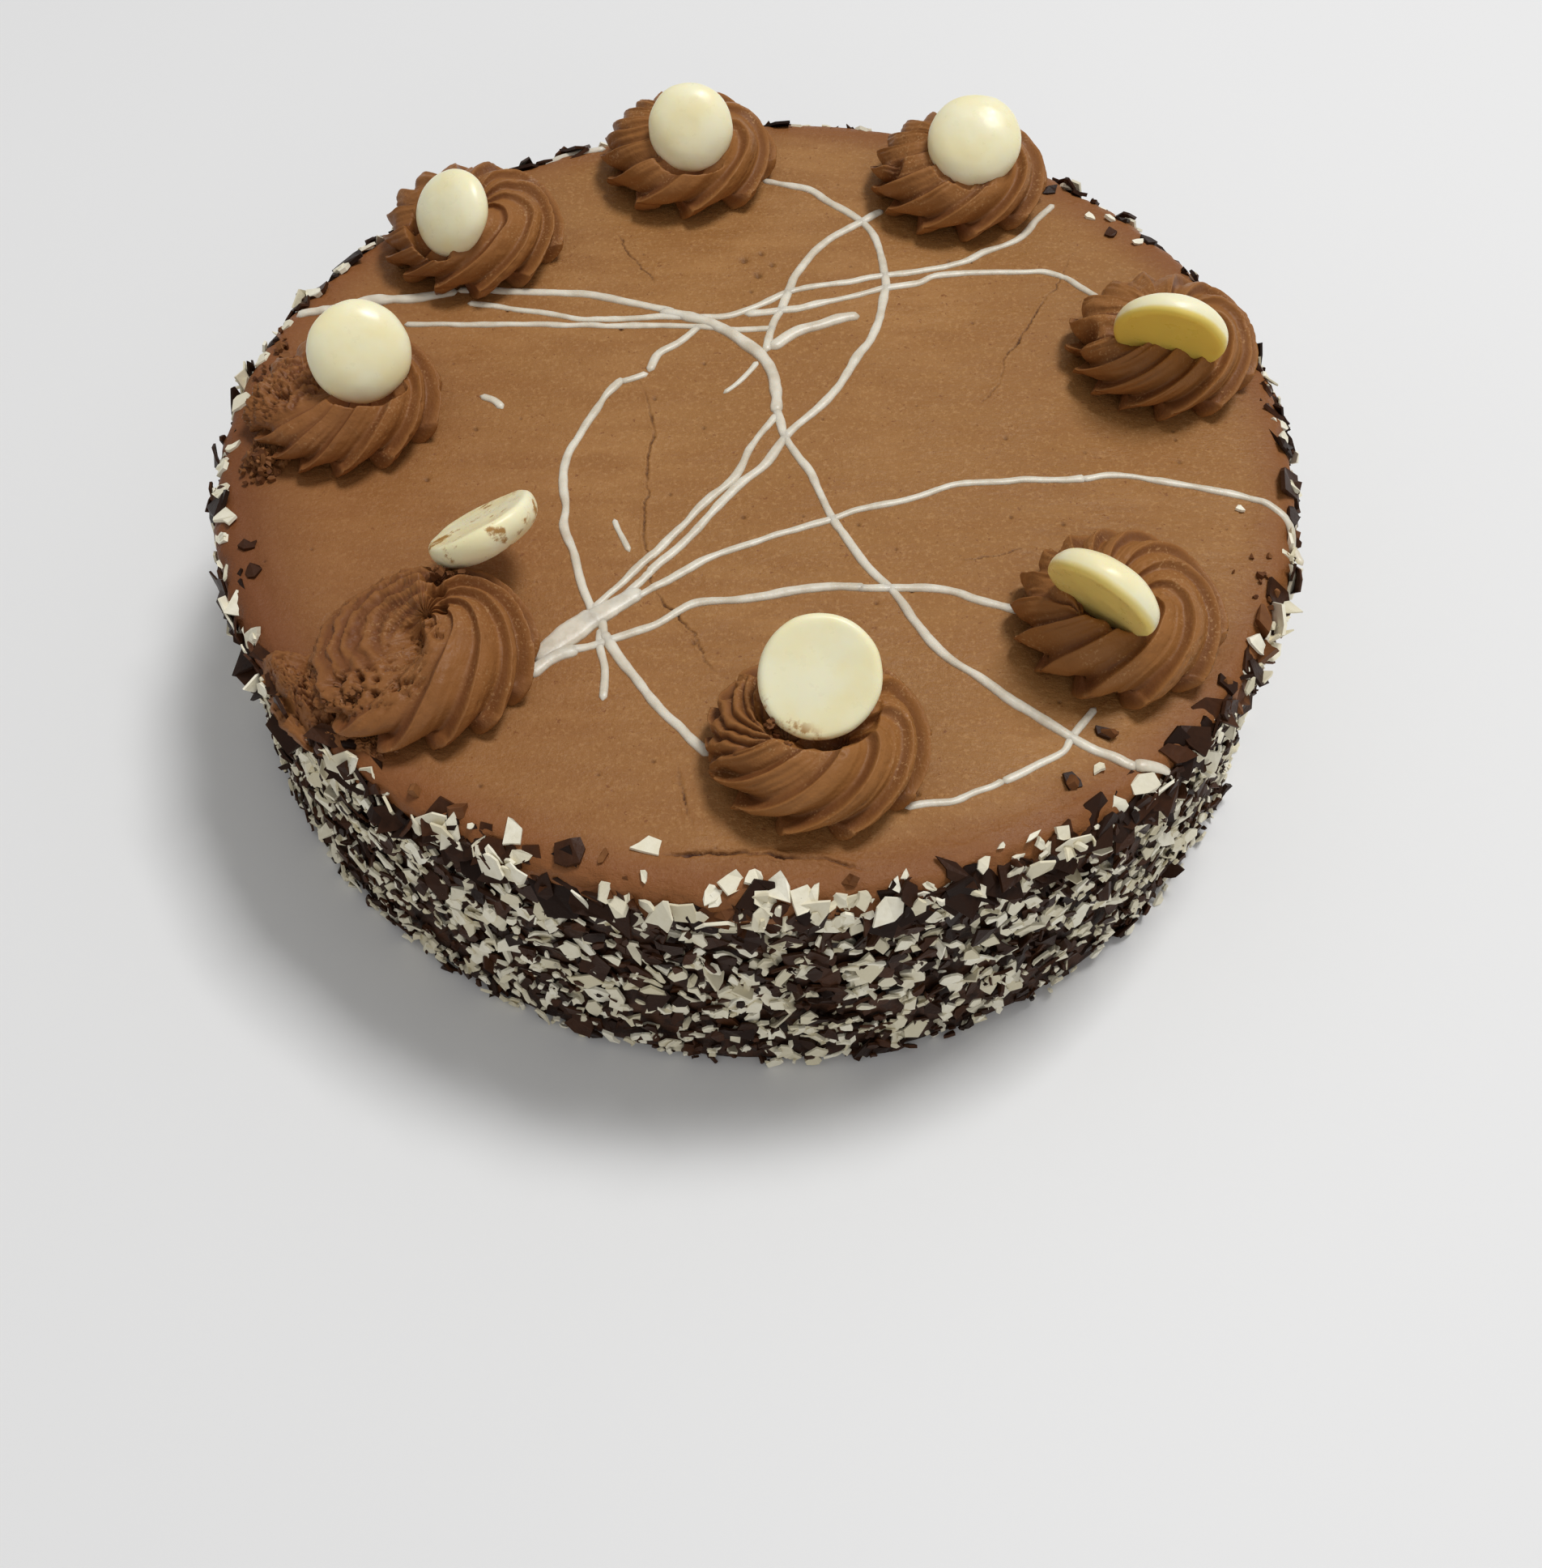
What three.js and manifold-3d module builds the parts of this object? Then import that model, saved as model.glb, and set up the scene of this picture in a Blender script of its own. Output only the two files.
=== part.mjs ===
// A round chocolate cream cake with a flaked side, a smooth cream top crossed by thin
// white drizzle, and a ring of eight piped rosettes that each hold one white button.
// Millimetres, +Z up. The origin is the centre of the flat base and -Y is the front.

import * as THREE from 'three';
import { mergeVertices } from 'three/addons/utils/BufferGeometryUtils.js';
import Module from 'manifold-3d';

const wasm = await Module();
wasm.setup();

// Driving dimensions
const CAKE_RADIUS = 110;
const CAKE_HEIGHT = 58;
const CREAM_DEPTH = 6;
const ROSETTE_RADIUS = 20.3;
const ROSETTE_HEIGHT = 14.6;
const ROSETTE_LOBES = 12;
const BUTTON_RADIUS = 10.4;
const BUTTON_THICKNESS = 6.6;
const STRAND_WIDTH = 1.8;
const FLAKE_THICKNESS = 1.2;
const GAP = 0.3;

// Sizes worked out from the driving ones
const CREAM_BOTTOM = CAKE_HEIGHT - CREAM_DEPTH;
const SHOULDER_RADIUS = 0.8 * CREAM_DEPTH;
const SIDE_RADIUS = CAKE_RADIUS - 1;
const FOOT_RADIUS = SIDE_RADIUS + 2;
const OUTLINE_SEGMENTS = 64;

// The cake is a little out of round: an oval and a three-sided swell, as parts of the radius
const OVAL_SWELL = 0.006;
const THREE_SIDED_SWELL = 0.012;
const SWELL_ANGLE = THREE.MathUtils.degToRad(50);

// Repeatable random numbers between 0 and 1
function seededRandom(seed) {
  let state = seed >>> 0;
  return () => {
    state = (state + 0x6d2b79f5) >>> 0;
    let mixed = Math.imul(state ^ (state >>> 15), 1 | state);
    mixed = (mixed + Math.imul(mixed ^ (mixed >>> 7), 61 | mixed)) ^ mixed;
    return ((mixed ^ (mixed >>> 14)) >>> 0) / 2 ** 32;
  };
}

// A closed geometry as a solid that can be joined and cut, and back
function toSolid(geometry) {
  const bare = geometry.index ? geometry.toNonIndexed() : geometry.clone();
  for (const name of Object.keys(bare.attributes)) {
    if (name !== 'position') bare.deleteAttribute(name);
  }
  const merged = mergeVertices(bare, 1e-5);
  return new wasm.Manifold(new wasm.Mesh({
    numProp: 3,
    vertProperties: new Float32Array(merged.attributes.position.array),
    triVerts: new Uint32Array(merged.index.array),
  }));
}

function toGeometry(solid) {
  const mesh = solid.getMesh();
  const geometry = new THREE.BufferGeometry();
  geometry.setAttribute('position', new THREE.BufferAttribute(mesh.vertProperties, 3));
  geometry.setIndex(new THREE.BufferAttribute(mesh.triVerts, 1));
  return geometry;
}

function joined(solids) {
  return solids.reduce((whole, solid) => whole.add(solid));
}

// Drops the loose scraps that a cut can leave
function largestPiece(solid) {
  const pieces = solid.decompose();
  pieces.sort((a, b) => b.volume() - a.volume());
  return pieces[0];
}

// A closed solid through a stack of rings, each an array of points going round
function solidFromRings(rings, bottomCentre, topCentre) {
  const count = rings[0].length;
  const points = rings.flat();
  const bottom = points.push(bottomCentre) - 1;
  const top = points.push(topCentre) - 1;
  const index = [];
  for (let ring = 0; ring + 1 < rings.length; ring += 1) {
    for (let step = 0; step < count; step += 1) {
      const a = ring * count + step;
      const b = ring * count + ((step + 1) % count);
      index.push(a, b, b + count, a, b + count, a + count);
    }
  }
  const last = (rings.length - 1) * count;
  for (let step = 0; step < count; step += 1) {
    const next = (step + 1) % count;
    index.push(bottom, next, step);
    index.push(top, last + step, last + next);
  }
  const geometry = new THREE.BufferGeometry().setFromPoints(points);
  geometry.setIndex(index);
  return toSolid(geometry);
}

// Outline and top surface of the cake
function outlineScale(angle) {
  const turn = angle - SWELL_ANGLE;
  return 1 + OVAL_SWELL * Math.cos(2 * turn) + THREE_SIDED_SWELL * Math.cos(3 * turn);
}

function outlineRing(radius, height) {
  const ring = [];
  for (let step = 0; step < OUTLINE_SEGMENTS; step += 1) {
    const angle = (2 * Math.PI * step) / OUTLINE_SEGMENTS;
    const reach = radius * outlineScale(angle);
    ring.push(new THREE.Vector3(reach * Math.cos(angle), reach * Math.sin(angle), height));
  }
  return ring;
}

function lathedSolid(profile) {
  const rings = profile.map(([radius, height]) => outlineRing(radius, height));
  const lowest = new THREE.Vector3(0, 0, profile[0][1]);
  const highest = new THREE.Vector3(0, 0, profile[profile.length - 1][1]);
  return solidFromRings(rings, lowest, highest);
}

function creamHeight(x, y) {
  const angle = Math.atan2(y, x);
  const over = Math.hypot(x, y) / outlineScale(angle) - (CAKE_RADIUS - SHOULDER_RADIUS);
  if (over <= 0) return CAKE_HEIGHT;
  const inside = Math.min(over, SHOULDER_RADIUS);
  return CAKE_HEIGHT - SHOULDER_RADIUS + Math.sqrt(SHOULDER_RADIUS ** 2 - inside ** 2);
}

function sideSolid() {
  return lathedSolid([
    [FOOT_RADIUS, 0],
    [SIDE_RADIUS, 0.5 * CREAM_BOTTOM],
    [SIDE_RADIUS, CREAM_BOTTOM],
  ]);
}

function creamSolid() {
  const profile = [[CAKE_RADIUS, CREAM_BOTTOM]];
  const steps = 3;
  for (let step = 0; step <= steps; step += 1) {
    const turn = (0.5 * Math.PI * step) / steps;
    const radius = CAKE_RADIUS - SHOULDER_RADIUS * (1 - Math.cos(turn));
    profile.push([radius, CAKE_HEIGHT - SHOULDER_RADIUS * (1 - Math.sin(turn))]);
  }
  return lathedSolid(profile);
}

// Chocolate flakes: thin plates with a few uneven corners
function flakeSolid(random, size) {
  const corners = 5;
  const shape = new THREE.Shape();
  for (let corner = 0; corner < corners; corner += 1) {
    const angle = (2 * Math.PI * (corner + 0.5 * random())) / corners;
    const reach = size * (0.38 + 0.16 * random());
    const x = reach * Math.cos(angle);
    const y = 0.66 * reach * Math.sin(angle);
    if (corner === 0) shape.moveTo(x, y);
    else shape.lineTo(x, y);
  }
  const geometry = new THREE.ExtrudeGeometry(shape, {
    depth: FLAKE_THICKNESS,
    bevelEnabled: false,
  });
  geometry.translate(0, 0, -0.5 * FLAKE_THICKNESS);
  return geometry;
}

// Lays a flake on a surface at a point, with the surface's outward direction
function laidFlake(random, size, point, outward, tilt) {
  const geometry = flakeSolid(random, size);
  const lean = new THREE.Vector3(random() - 0.5, random() - 0.5, random() - 0.5);
  const facing = outward.clone().addScaledVector(lean, tilt).normalize();
  const spin = new THREE.Quaternion().setFromAxisAngle(
    new THREE.Vector3(0, 0, 1), 2 * Math.PI * random());
  const turn = new THREE.Quaternion().setFromUnitVectors(new THREE.Vector3(0, 0, 1), facing);
  geometry.applyQuaternion(turn.multiply(spin));
  geometry.translate(point.x, point.y, point.z);
  return toSolid(geometry);
}

function sideFlakes() {
  const random = seededRandom(11);
  const rows = 5;
  const columns = 23;
  const flakes = [];
  for (let row = 0; row < rows; row += 1) {
    for (let column = 0; column < columns; column += 1) {
      const angle = (2 * Math.PI * (column + 0.5 * (row % 2) + 0.6 * random())) / columns;
      const size = 9 + 4 * random();
      const height = (CREAM_BOTTOM * (row + 0.3 + 0.4 * random())) / rows;
      const reach = (SIDE_RADIUS + 0.5 + 0.7 * random()) * outlineScale(angle);
      const outward = new THREE.Vector3(Math.cos(angle), Math.sin(angle), 0);
      const point = outward.clone().multiplyScalar(reach);
      point.z = height;
      flakes.push(laidFlake(random, size, point, outward, 0.7));
    }
  }
  return flakes;
}

// Flakes strewn along the rim of the top, at uneven spacing
function rimFlakes() {
  const random = seededRandom(29);
  const count = 16;
  const flakes = [];
  for (let place = 0; place < count; place += 1) {
    const angle = (2 * Math.PI * (place + 0.7 * random())) / count;
    const inset = 0.3 + 5 * random() ** 2;
    const reach = (CAKE_RADIUS - inset) * outlineScale(angle);
    const x = reach * Math.cos(angle);
    const y = reach * Math.sin(angle);
    const slope = Math.max(0, 1 - inset / SHOULDER_RADIUS);
    const outward = new THREE.Vector3(slope * Math.cos(angle), slope * Math.sin(angle), 1 - slope);
    const point = new THREE.Vector3(x, y, creamHeight(x, y) + 0.2);
    flakes.push(laidFlake(random, 6 + 2.5 * random(), point, outward.normalize(), 0.3));
  }
  return flakes;
}

// Drizzle: each strand is a low ridge along a smooth curve over the cream.
// The points are [x, y] on the top; width is a multiple of the strand width.
const STRANDS = [
  { width: 1.3, steps: 7, points: [[-55, 46], [-40, 45], [-22, 40], [-8, 34], [2, 22], [3, 11]] },
  { width: 1.0, steps: 9, points: [[3, 15], [5, 0], [14, -22], [25, -41], [45, -67], [67, -82]] },
  { width: 0.7, steps: 4, points: [[-66, 35], [-40, 35], [-15, 35], [0, 34]] },
  { width: 0.7, steps: 8, points: [[-58, 41], [-31, 38], [-9, 38], [20, 50], [44, 56], [67, 77]] },
  { width: 0.8, steps: 6, points: [[6, 39], [34, 49], [58, 53], [67, 51], [74, 44]] },
  { width: 0.9, steps: 8, points: [[-14, 35], [-24, 20], [-36, 5], [-40, -15], [-33, -44]] },
  { width: 1.0, steps: 9, points: [[0, 85], [15, 78], [26, 62], [24, 33], [11, 9], [-1, -8]] },
  { width: 0.9, steps: 5, points: [[25, 73], [14, 63], [6, 47], [1, 25]] },
  { width: 1.5, steps: 2, points: [[21, 38], [12, 35], [3, 30]] },
  { width: 1.0, steps: 5, points: [[2, 12], [-6, -11], [-20, -30], [-31, -44]] },
  { width: 1.1, steps: 3, points: [[2, -3], [-9, -19], [-24, -40]] },
  {
    width: 1.0,
    steps: 11,
    points: [[-23, -43], [-3, -29], [20, -19], [45, -12], [70, -10], [92, -14], [106, -27]],
  },
  { width: 1.0, steps: 6, points: [[-36, -56], [-12, -44], [13, -40], [32, -40], [49, -46]] },
  { width: 0.9, steps: 2, points: [[-30, -51], [-29, -67]] },
  { width: 1.2, steps: 3, points: [[-28, -52], [-19, -69], [-7, -82]] },
  { width: 3.2, steps: 3, points: [[-44, -62], [-33, -50], [-23, -41]] },
  { width: 0.9, steps: 5, points: [[61, -69], [54, -79], [38, -88], [23, -91]] },
  { width: 1.2, steps: 3, points: [[-103, 37], [-90, 41], [-67, 46]] },
];

// An outline of a strand's section, as shares of its width: across and up
const STRAND_SECTION = [[-0.5, -0.25], [-0.32, 0.45], [0.32, 0.45], [0.5, -0.25]];

function strandSolid({ width, steps, points }) {
  const breadth = width * STRAND_WIDTH;
  const rise = Math.min(breadth, 1.6 * STRAND_WIDTH);
  const curve = new THREE.CatmullRomCurve3(points.map(([x, y]) => new THREE.Vector3(x, y, 0)));
  const rings = [];
  for (let step = 0; step <= steps; step += 1) {
    const centre = curve.getPointAt(step / steps);
    const along = curve.getTangentAt(step / steps);
    const across = new THREE.Vector3(along.y, -along.x, 0);
    const height = creamHeight(centre.x, centre.y);
    rings.push(STRAND_SECTION.map(([side, up]) => {
      const point = centre.clone().addScaledVector(across, side * breadth);
      point.z = height + up * rise;
      return point;
    }));
  }
  const ends = [rings[0], rings[steps]].map((ring) => {
    const middle = ring.reduce((sum, point) => sum.add(point), new THREE.Vector3());
    return middle.divideScalar(ring.length);
  });
  return solidFromRings(rings, ends[0], ends[1]);
}

// Rosettes: star-shaped levels that turn as they rise towards an off-centre peak.
// place: centre on the cake; peak: shift of the top; phase: turn of the star, in degrees.
// widest: the side where the ridges lie furthest apart, in degrees; widening: by what share.
// crush: how far one side is pressed down; spread: how far it is pushed out, as a share of
// the radius; crushAngle: the direction of that side, in degrees.
// button: centre of the button, from the rosette's foot; size: a multiple of the usual button;
// face: where its domed side points.
const ROSETTES = [
  {
    place: [10, -80], peak: [-3, -0.5], phase: 23, widest: -20, widening: 0.35,
    button: [0, 5.2, 16.3], size: 1.05, face: { azimuth: 88, elevation: -50 },
  },
  {
    place: [66.5, -51], peak: [-4, 0], phase: 10, widest: -20, widening: 0.25,
    button: [-4.8, -5.2, 18.8], size: 1.05, face: { azimuth: 52, elevation: 23 },
  },
  {
    place: [-60.7, -60], peak: [2, 2], phase: 4.5, widest: 90, widening: 0.05,
    crush: 0.45, spread: 0.12, crushAngle: -168,
    button: [9.3, 23.1, 11.3], size: 1.07, face: { azimuth: -44, elevation: -51 },
  },
  {
    place: [84, 23.5], peak: [-4, -1], phase: 7.5, widest: 15, widening: 0.31,
    button: [-1.2, -8, 16.8], size: 1.1, face: { azimuth: 74, elevation: 21 },
  },
  {
    place: [-85, 7], peak: [2, 0], phase: 14, widest: 28, widening: 0.34,
    crush: 0.3, crushAngle: -170,
    button: [4.8, 0.5, 16.5], size: 0.98, face: { azimuth: -74, elevation: 42 },
  },
  {
    place: [-64, 61], peak: [-2, -1], phase: 18, widest: 13, widening: 0.31,
    button: [-3.3, -8, 15.5], size: 0.88, face: { azimuth: -135, elevation: 42 },
  },
  {
    place: [-17, 88.5], peak: [-3, -1], phase: 9.5, widest: -45, widening: 0.42,
    button: [1, -6.5, 16.5], size: 0.91, face: { azimuth: -88, elevation: 40 },
  },
  {
    place: [45, 81], peak: [-3, -1], phase: 14, widest: -27, widening: 0.34,
    button: [2, -3.5, 17], size: 1, face: { azimuth: -100, elevation: 58 },
  },
];

const FOOT_LEVEL = -24;
const ROSETTE_LEVELS = [FOOT_LEVEL, -10, 6, 21, 35, 48, 60, 71, 81];
const ROSETTE_TWIST = 125;
const BELLY_HEIGHT = 4.5;
const GROOVE_DEPTH = 2.8;
// A groove lies this far round from one crest to the next
const GROOVE_PLACE = 0.5;

// The azimuth of a ridge at the foot
function ridgeAzimuth({ phase, widest, widening }, step) {
  const { degToRad } = THREE.MathUtils;
  const even = degToRad(phase) + (2 * Math.PI * step) / ROSETTE_LOBES;
  return even + widening * Math.sin(even - degToRad(widest));
}

function rosettePoint(rosette, level, angle, groove) {
  const { degToRad, smoothstep } = THREE.MathUtils;
  const { peak, crush = 0, spread = 0, crushAngle = 0 } = rosette;
  const slope = degToRad(level);
  const rise = (level - FOOT_LEVEL) / (90 - FOOT_LEVEL);
  const foot = Math.sin(slope) / Math.sin(degToRad(FOOT_LEVEL));
  const height = level < 0
    ? BELLY_HEIGHT * (1 - foot)
    : BELLY_HEIGHT + (ROSETTE_HEIGHT - BELLY_HEIGHT) * Math.sin(slope);
  const pressed = smoothstep(Math.cos(angle - degToRad(crushAngle)), -0.3, 0.9);
  const reach = ROSETTE_RADIUS * Math.cos(slope) ** 0.9 * (1 + spread * pressed);
  const depth = groove * GROOVE_DEPTH * Math.min(1, reach / 12);
  const lean = rise ** 1.6;
  const out = reach - depth * Math.cos(slope);
  return new THREE.Vector3(
    lean * peak[0] + out * Math.cos(angle),
    lean * peak[1] + out * Math.sin(angle),
    (height - depth * Math.max(0, Math.sin(slope))) * (1 - crush * pressed));
}

function rosetteSolid(rosette) {
  const { degToRad } = THREE.MathUtils;
  const rings = ROSETTE_LEVELS.map((level) => {
    const turn = degToRad((ROSETTE_TWIST * Math.max(0, level)) / 90);
    const ring = [];
    for (let step = 0; step < ROSETTE_LOBES; step += 1) {
      const crest = turn + ridgeAzimuth(rosette, step);
      const valley = turn + ridgeAzimuth(rosette, step + GROOVE_PLACE);
      ring.push(rosettePoint(rosette, level, crest, 0));
      ring.push(rosettePoint(rosette, level, valley, 1));
    }
    return ring;
  });
  const top = rosettePoint(rosette, 90, 0, 0);
  return solidFromRings(rings, new THREE.Vector3(0, 0, 0), top);
}

// Buttons: a flat face and a low dome with a rounded edge, turned about the dome's axis
function buttonGeometry(size, extra = 0) {
  const half = 0.5 * size * BUTTON_THICKNESS;
  const radius = size * BUTTON_RADIUS + extra;
  const profile = [
    [0, -half - extra],
    [radius - 0.9, -half - extra],
    [radius, -0.55 * half],
    [0.97 * radius, 0],
    [0.75 * radius, 0.66 * half + extra],
    [0, half + extra],
  ];
  const geometry = new THREE.LatheGeometry(
    profile.map(([reach, height]) => new THREE.Vector2(reach, height)), 20);
  geometry.rotateX(0.5 * Math.PI);
  return geometry;
}

function buttonPose({ button, face }) {
  const azimuth = THREE.MathUtils.degToRad(face.azimuth);
  const elevation = THREE.MathUtils.degToRad(face.elevation);
  const outward = new THREE.Vector3(
    Math.cos(elevation) * Math.cos(azimuth),
    Math.cos(elevation) * Math.sin(azimuth),
    Math.sin(elevation));
  return {
    position: new THREE.Vector3(...button),
    turn: new THREE.Quaternion().setFromUnitVectors(new THREE.Vector3(0, 0, 1), outward),
  };
}

function placedButton({ size }, pose, extra) {
  const geometry = buttonGeometry(size, extra);
  geometry.applyQuaternion(pose.turn);
  geometry.translate(pose.position.x, pose.position.y, pose.position.z);
  return toSolid(geometry);
}

// Materials
function material(color, roughness) {
  return new THREE.MeshStandardMaterial({ color, roughness, metalness: 0 });
}

const SIDE_MATERIAL = material(0x6b4630, 0.7);
const CREAM_MATERIAL = material(0x976844, 0.55);
const ROSETTE_MATERIAL = material(0x84563a, 0.55);
const BUTTON_MATERIAL = material(0xe6dcae, 0.3);

function named(name, solid, meshMaterial) {
  const geometry = toGeometry(solid);
  geometry.computeVertexNormals();
  const mesh = new THREE.Mesh(geometry, meshMaterial);
  mesh.name = name;
  return mesh;
}

// Assembly
const cake = new THREE.Group();

const flakedSide = joined([sideSolid(), ...sideFlakes()])
  .trimByPlane([0, 0, 1], 0)
  .trimByPlane([0, 0, -1], -CREAM_BOTTOM);
cake.add(named('cake_body', largestPiece(flakedSide), SIDE_MATERIAL));

// A rosette enlarged by the gap, which keeps drizzle and flakes clear of the real one
function clearance(solid, [x, y]) {
  const growth = 1 + (2 * GAP) / ROSETTE_RADIUS;
  return solid.scale([growth, growth, growth]).translate([x, y, CAKE_HEIGHT]);
}

let toppings = joined([...STRANDS.map(strandSolid), ...rimFlakes()])
  .trimByPlane([0, 0, 1], CREAM_BOTTOM);

ROSETTES.forEach((rosette, number) => {
  const whole = rosetteSolid(rosette);
  const pose = buttonPose(rosette);
  toppings = toppings.subtract(clearance(whole, rosette.place));

  const spot = new THREE.Group();
  spot.position.set(rosette.place[0], rosette.place[1], CAKE_HEIGHT);
  const cut = largestPiece(whole.subtract(placedButton(rosette, pose, GAP)));
  spot.add(named(`rosette_${number + 1}`, cut, ROSETTE_MATERIAL));

  const disc = toSolid(buttonGeometry(rosette.size));
  const button = named(`button_${number + 1}`, disc, BUTTON_MATERIAL);
  button.position.copy(pose.position);
  button.quaternion.copy(pose.turn);
  spot.add(button);
  cake.add(spot);
});

cake.add(named('cream_top', largestPiece(creamSolid().add(toppings)), CREAM_MATERIAL));

export default cake;
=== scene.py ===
# A round chocolate cream cake: a flaked side, a smooth cream top with cracks and thin
# white drizzle, and eight piped rosettes that each hold one white button.
# Lengths are millimetres until a mesh is made. The front of the cake is towards -Y.

import math

import bmesh
import bpy
import numpy as np
from mathutils import Matrix, Vector


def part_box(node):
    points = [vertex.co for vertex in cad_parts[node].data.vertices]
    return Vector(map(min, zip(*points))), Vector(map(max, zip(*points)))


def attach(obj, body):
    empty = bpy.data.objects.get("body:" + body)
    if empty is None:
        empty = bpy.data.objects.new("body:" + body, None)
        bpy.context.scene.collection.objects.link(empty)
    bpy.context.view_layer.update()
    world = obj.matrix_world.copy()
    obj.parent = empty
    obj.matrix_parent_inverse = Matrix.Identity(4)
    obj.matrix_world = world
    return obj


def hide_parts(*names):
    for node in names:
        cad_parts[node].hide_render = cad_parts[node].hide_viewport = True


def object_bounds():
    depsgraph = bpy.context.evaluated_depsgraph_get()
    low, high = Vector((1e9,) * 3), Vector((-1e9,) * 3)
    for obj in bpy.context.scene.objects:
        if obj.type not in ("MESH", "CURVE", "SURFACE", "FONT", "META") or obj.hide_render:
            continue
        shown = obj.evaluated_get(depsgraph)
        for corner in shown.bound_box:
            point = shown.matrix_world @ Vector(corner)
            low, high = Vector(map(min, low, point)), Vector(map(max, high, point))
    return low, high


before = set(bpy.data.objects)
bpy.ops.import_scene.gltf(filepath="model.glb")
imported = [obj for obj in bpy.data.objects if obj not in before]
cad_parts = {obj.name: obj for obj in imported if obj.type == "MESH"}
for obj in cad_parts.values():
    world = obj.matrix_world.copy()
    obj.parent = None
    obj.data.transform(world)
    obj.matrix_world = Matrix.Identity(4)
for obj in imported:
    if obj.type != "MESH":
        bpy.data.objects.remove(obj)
cad_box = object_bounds()

MM = 0.001
CAKE_RADIUS = 110.0
CAKE_HEIGHT = 58.0
CREAM_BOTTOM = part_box("cream_top")[0][2] / MM
SHOULDER_RADIUS = 4.8
FLAT_RADIUS = CAKE_RADIUS - SHOULDER_RADIUS
CREAM_SIDE = 6.6
BUTTON_RADIUS = 10.4
ROSETTE_LOBES = 12

# Everything stays this far inside the box of the solid model
BOX_MARGIN = 0.05
BOX_LOW = np.array(cad_box[0]) / MM + BOX_MARGIN
BOX_HIGH = np.array(cad_box[1]) / MM - BOX_MARGIN


# Repeatable noise

def cell_values(cells, seed):
    """Repeatable random values from -1 to 1 for whole-number cells."""
    mixed = cells[:, 0] * 374761393 + cells[:, 1] * 668265263 + cells[:, 2] * 1440662683
    mixed = (mixed + seed * 1013904223) & 0xFFFFFFFF
    mixed = ((mixed ^ (mixed >> 13)) * 1274126177) & 0xFFFFFFFF
    return (mixed ^ (mixed >> 16)) / 0x7FFFFFFF - 1.0


def noise(points, size, seed, octaves=2, gain=0.5):
    """Smooth noise of about -1 to 1, with features of about size (one number or three)."""
    total = np.zeros(len(points))
    weight, reach = 1.0, 0.0
    for octave in range(octaves):
        spots = points / np.asarray(size) * 2**octave + 19.7 * octave + 0.37 * seed
        cells = np.floor(spots).astype(np.int64)
        part = spots - cells
        part = part**3 * (part * (6 * part - 15) + 10)
        for corner in np.ndindex(2, 2, 2):
            share = np.prod(np.where(corner, part, 1 - part), axis=1)
            total += weight * share * cell_values(cells + corner, seed + 101 * octave)
        reach += weight
        weight *= gain
    return 1.6 * total / reach


def smoothstep(value, low, high):
    """Rises smoothly from 0 at low to 1 at high."""
    share = np.clip((value - low) / (high - low), 0, 1)
    return share * share * (3 - 2 * share)


def flat_points(x, y):
    """Points at height 0."""
    return np.stack([x, y, np.zeros_like(x)], axis=-1)


# Meshes

def mesh_object(name, points, face_sets, material, values=None, smooth=True):
    """A mesh from points in millimetres, arrays of faces, and named values at the points."""
    mesh = bpy.data.meshes.new(name)
    points = np.clip(points, BOX_LOW, BOX_HIGH)
    mesh.vertices.add(len(points))
    mesh.vertices.foreach_set("co", (points * MM).astype(np.float32).ravel())
    corners = np.concatenate([np.asarray(faces).ravel() for faces in face_sets])
    sizes = np.concatenate([np.full(len(faces), np.shape(faces)[1]) for faces in face_sets])
    mesh.loops.add(len(corners))
    mesh.loops.foreach_set("vertex_index", corners.astype(np.int32))
    mesh.polygons.add(len(sizes))
    starts = np.concatenate([[0], np.cumsum(sizes)[:-1]])
    mesh.polygons.foreach_set("loop_start", starts.astype(np.int32))
    mesh.polygons.foreach_set("use_smooth", np.full(len(sizes), smooth))
    for key, numbers in (values or {}).items():
        layer = mesh.attributes.new(key, "FLOAT", "POINT")
        layer.data.foreach_set("value", np.asarray(numbers, dtype=np.float32))
    mesh.update(calc_edges=True)
    mesh.validate()
    mesh.materials.append(material)
    made = bpy.data.objects.new(name, mesh)
    bpy.context.scene.collection.objects.link(made)
    return made


def ring_faces(rings, columns, first=0):
    """Faces of a stack of closed rings, facing out where the rings run up and to the left."""
    ring, column = np.meshgrid(np.arange(rings - 1), np.arange(columns), indexing="ij")
    a = first + ring * columns + column
    b = first + ring * columns + (column + 1) % columns
    return np.stack([a, b, b + columns, a + columns], axis=-1).reshape(-1, 4)


def fan_faces(centre, ring_start, columns, upward):
    """Triangles from a centre point to a ring of points."""
    column = np.arange(columns)
    here = ring_start + column
    after = ring_start + (column + 1) % columns
    middle = np.full(columns, centre)
    if upward:
        return np.stack([middle, here, after], axis=-1)
    return np.stack([middle, after, here], axis=-1)


def closed_stack(rings):
    """Points and faces of rings (rows, columns, 3), closed at the bottom and the top."""
    rows, columns = rings.shape[:2]
    points = rings.reshape(-1, 3)
    ends = np.stack([rings[0].mean(axis=0), rings[-1].mean(axis=0)])
    bottom = len(points)
    faces = [
        ring_faces(rows, columns),
        fan_faces(bottom, 0, columns, False),
        fan_faces(bottom + 1, (rows - 1) * columns, columns, True),
    ]
    return np.concatenate([points, ends]), faces


def lengths_along(points):
    """How far along a line of points each of them lies."""
    steps = np.linalg.norm(np.diff(points, axis=0), axis=1)
    return np.concatenate([[0], np.cumsum(steps)])


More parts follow.
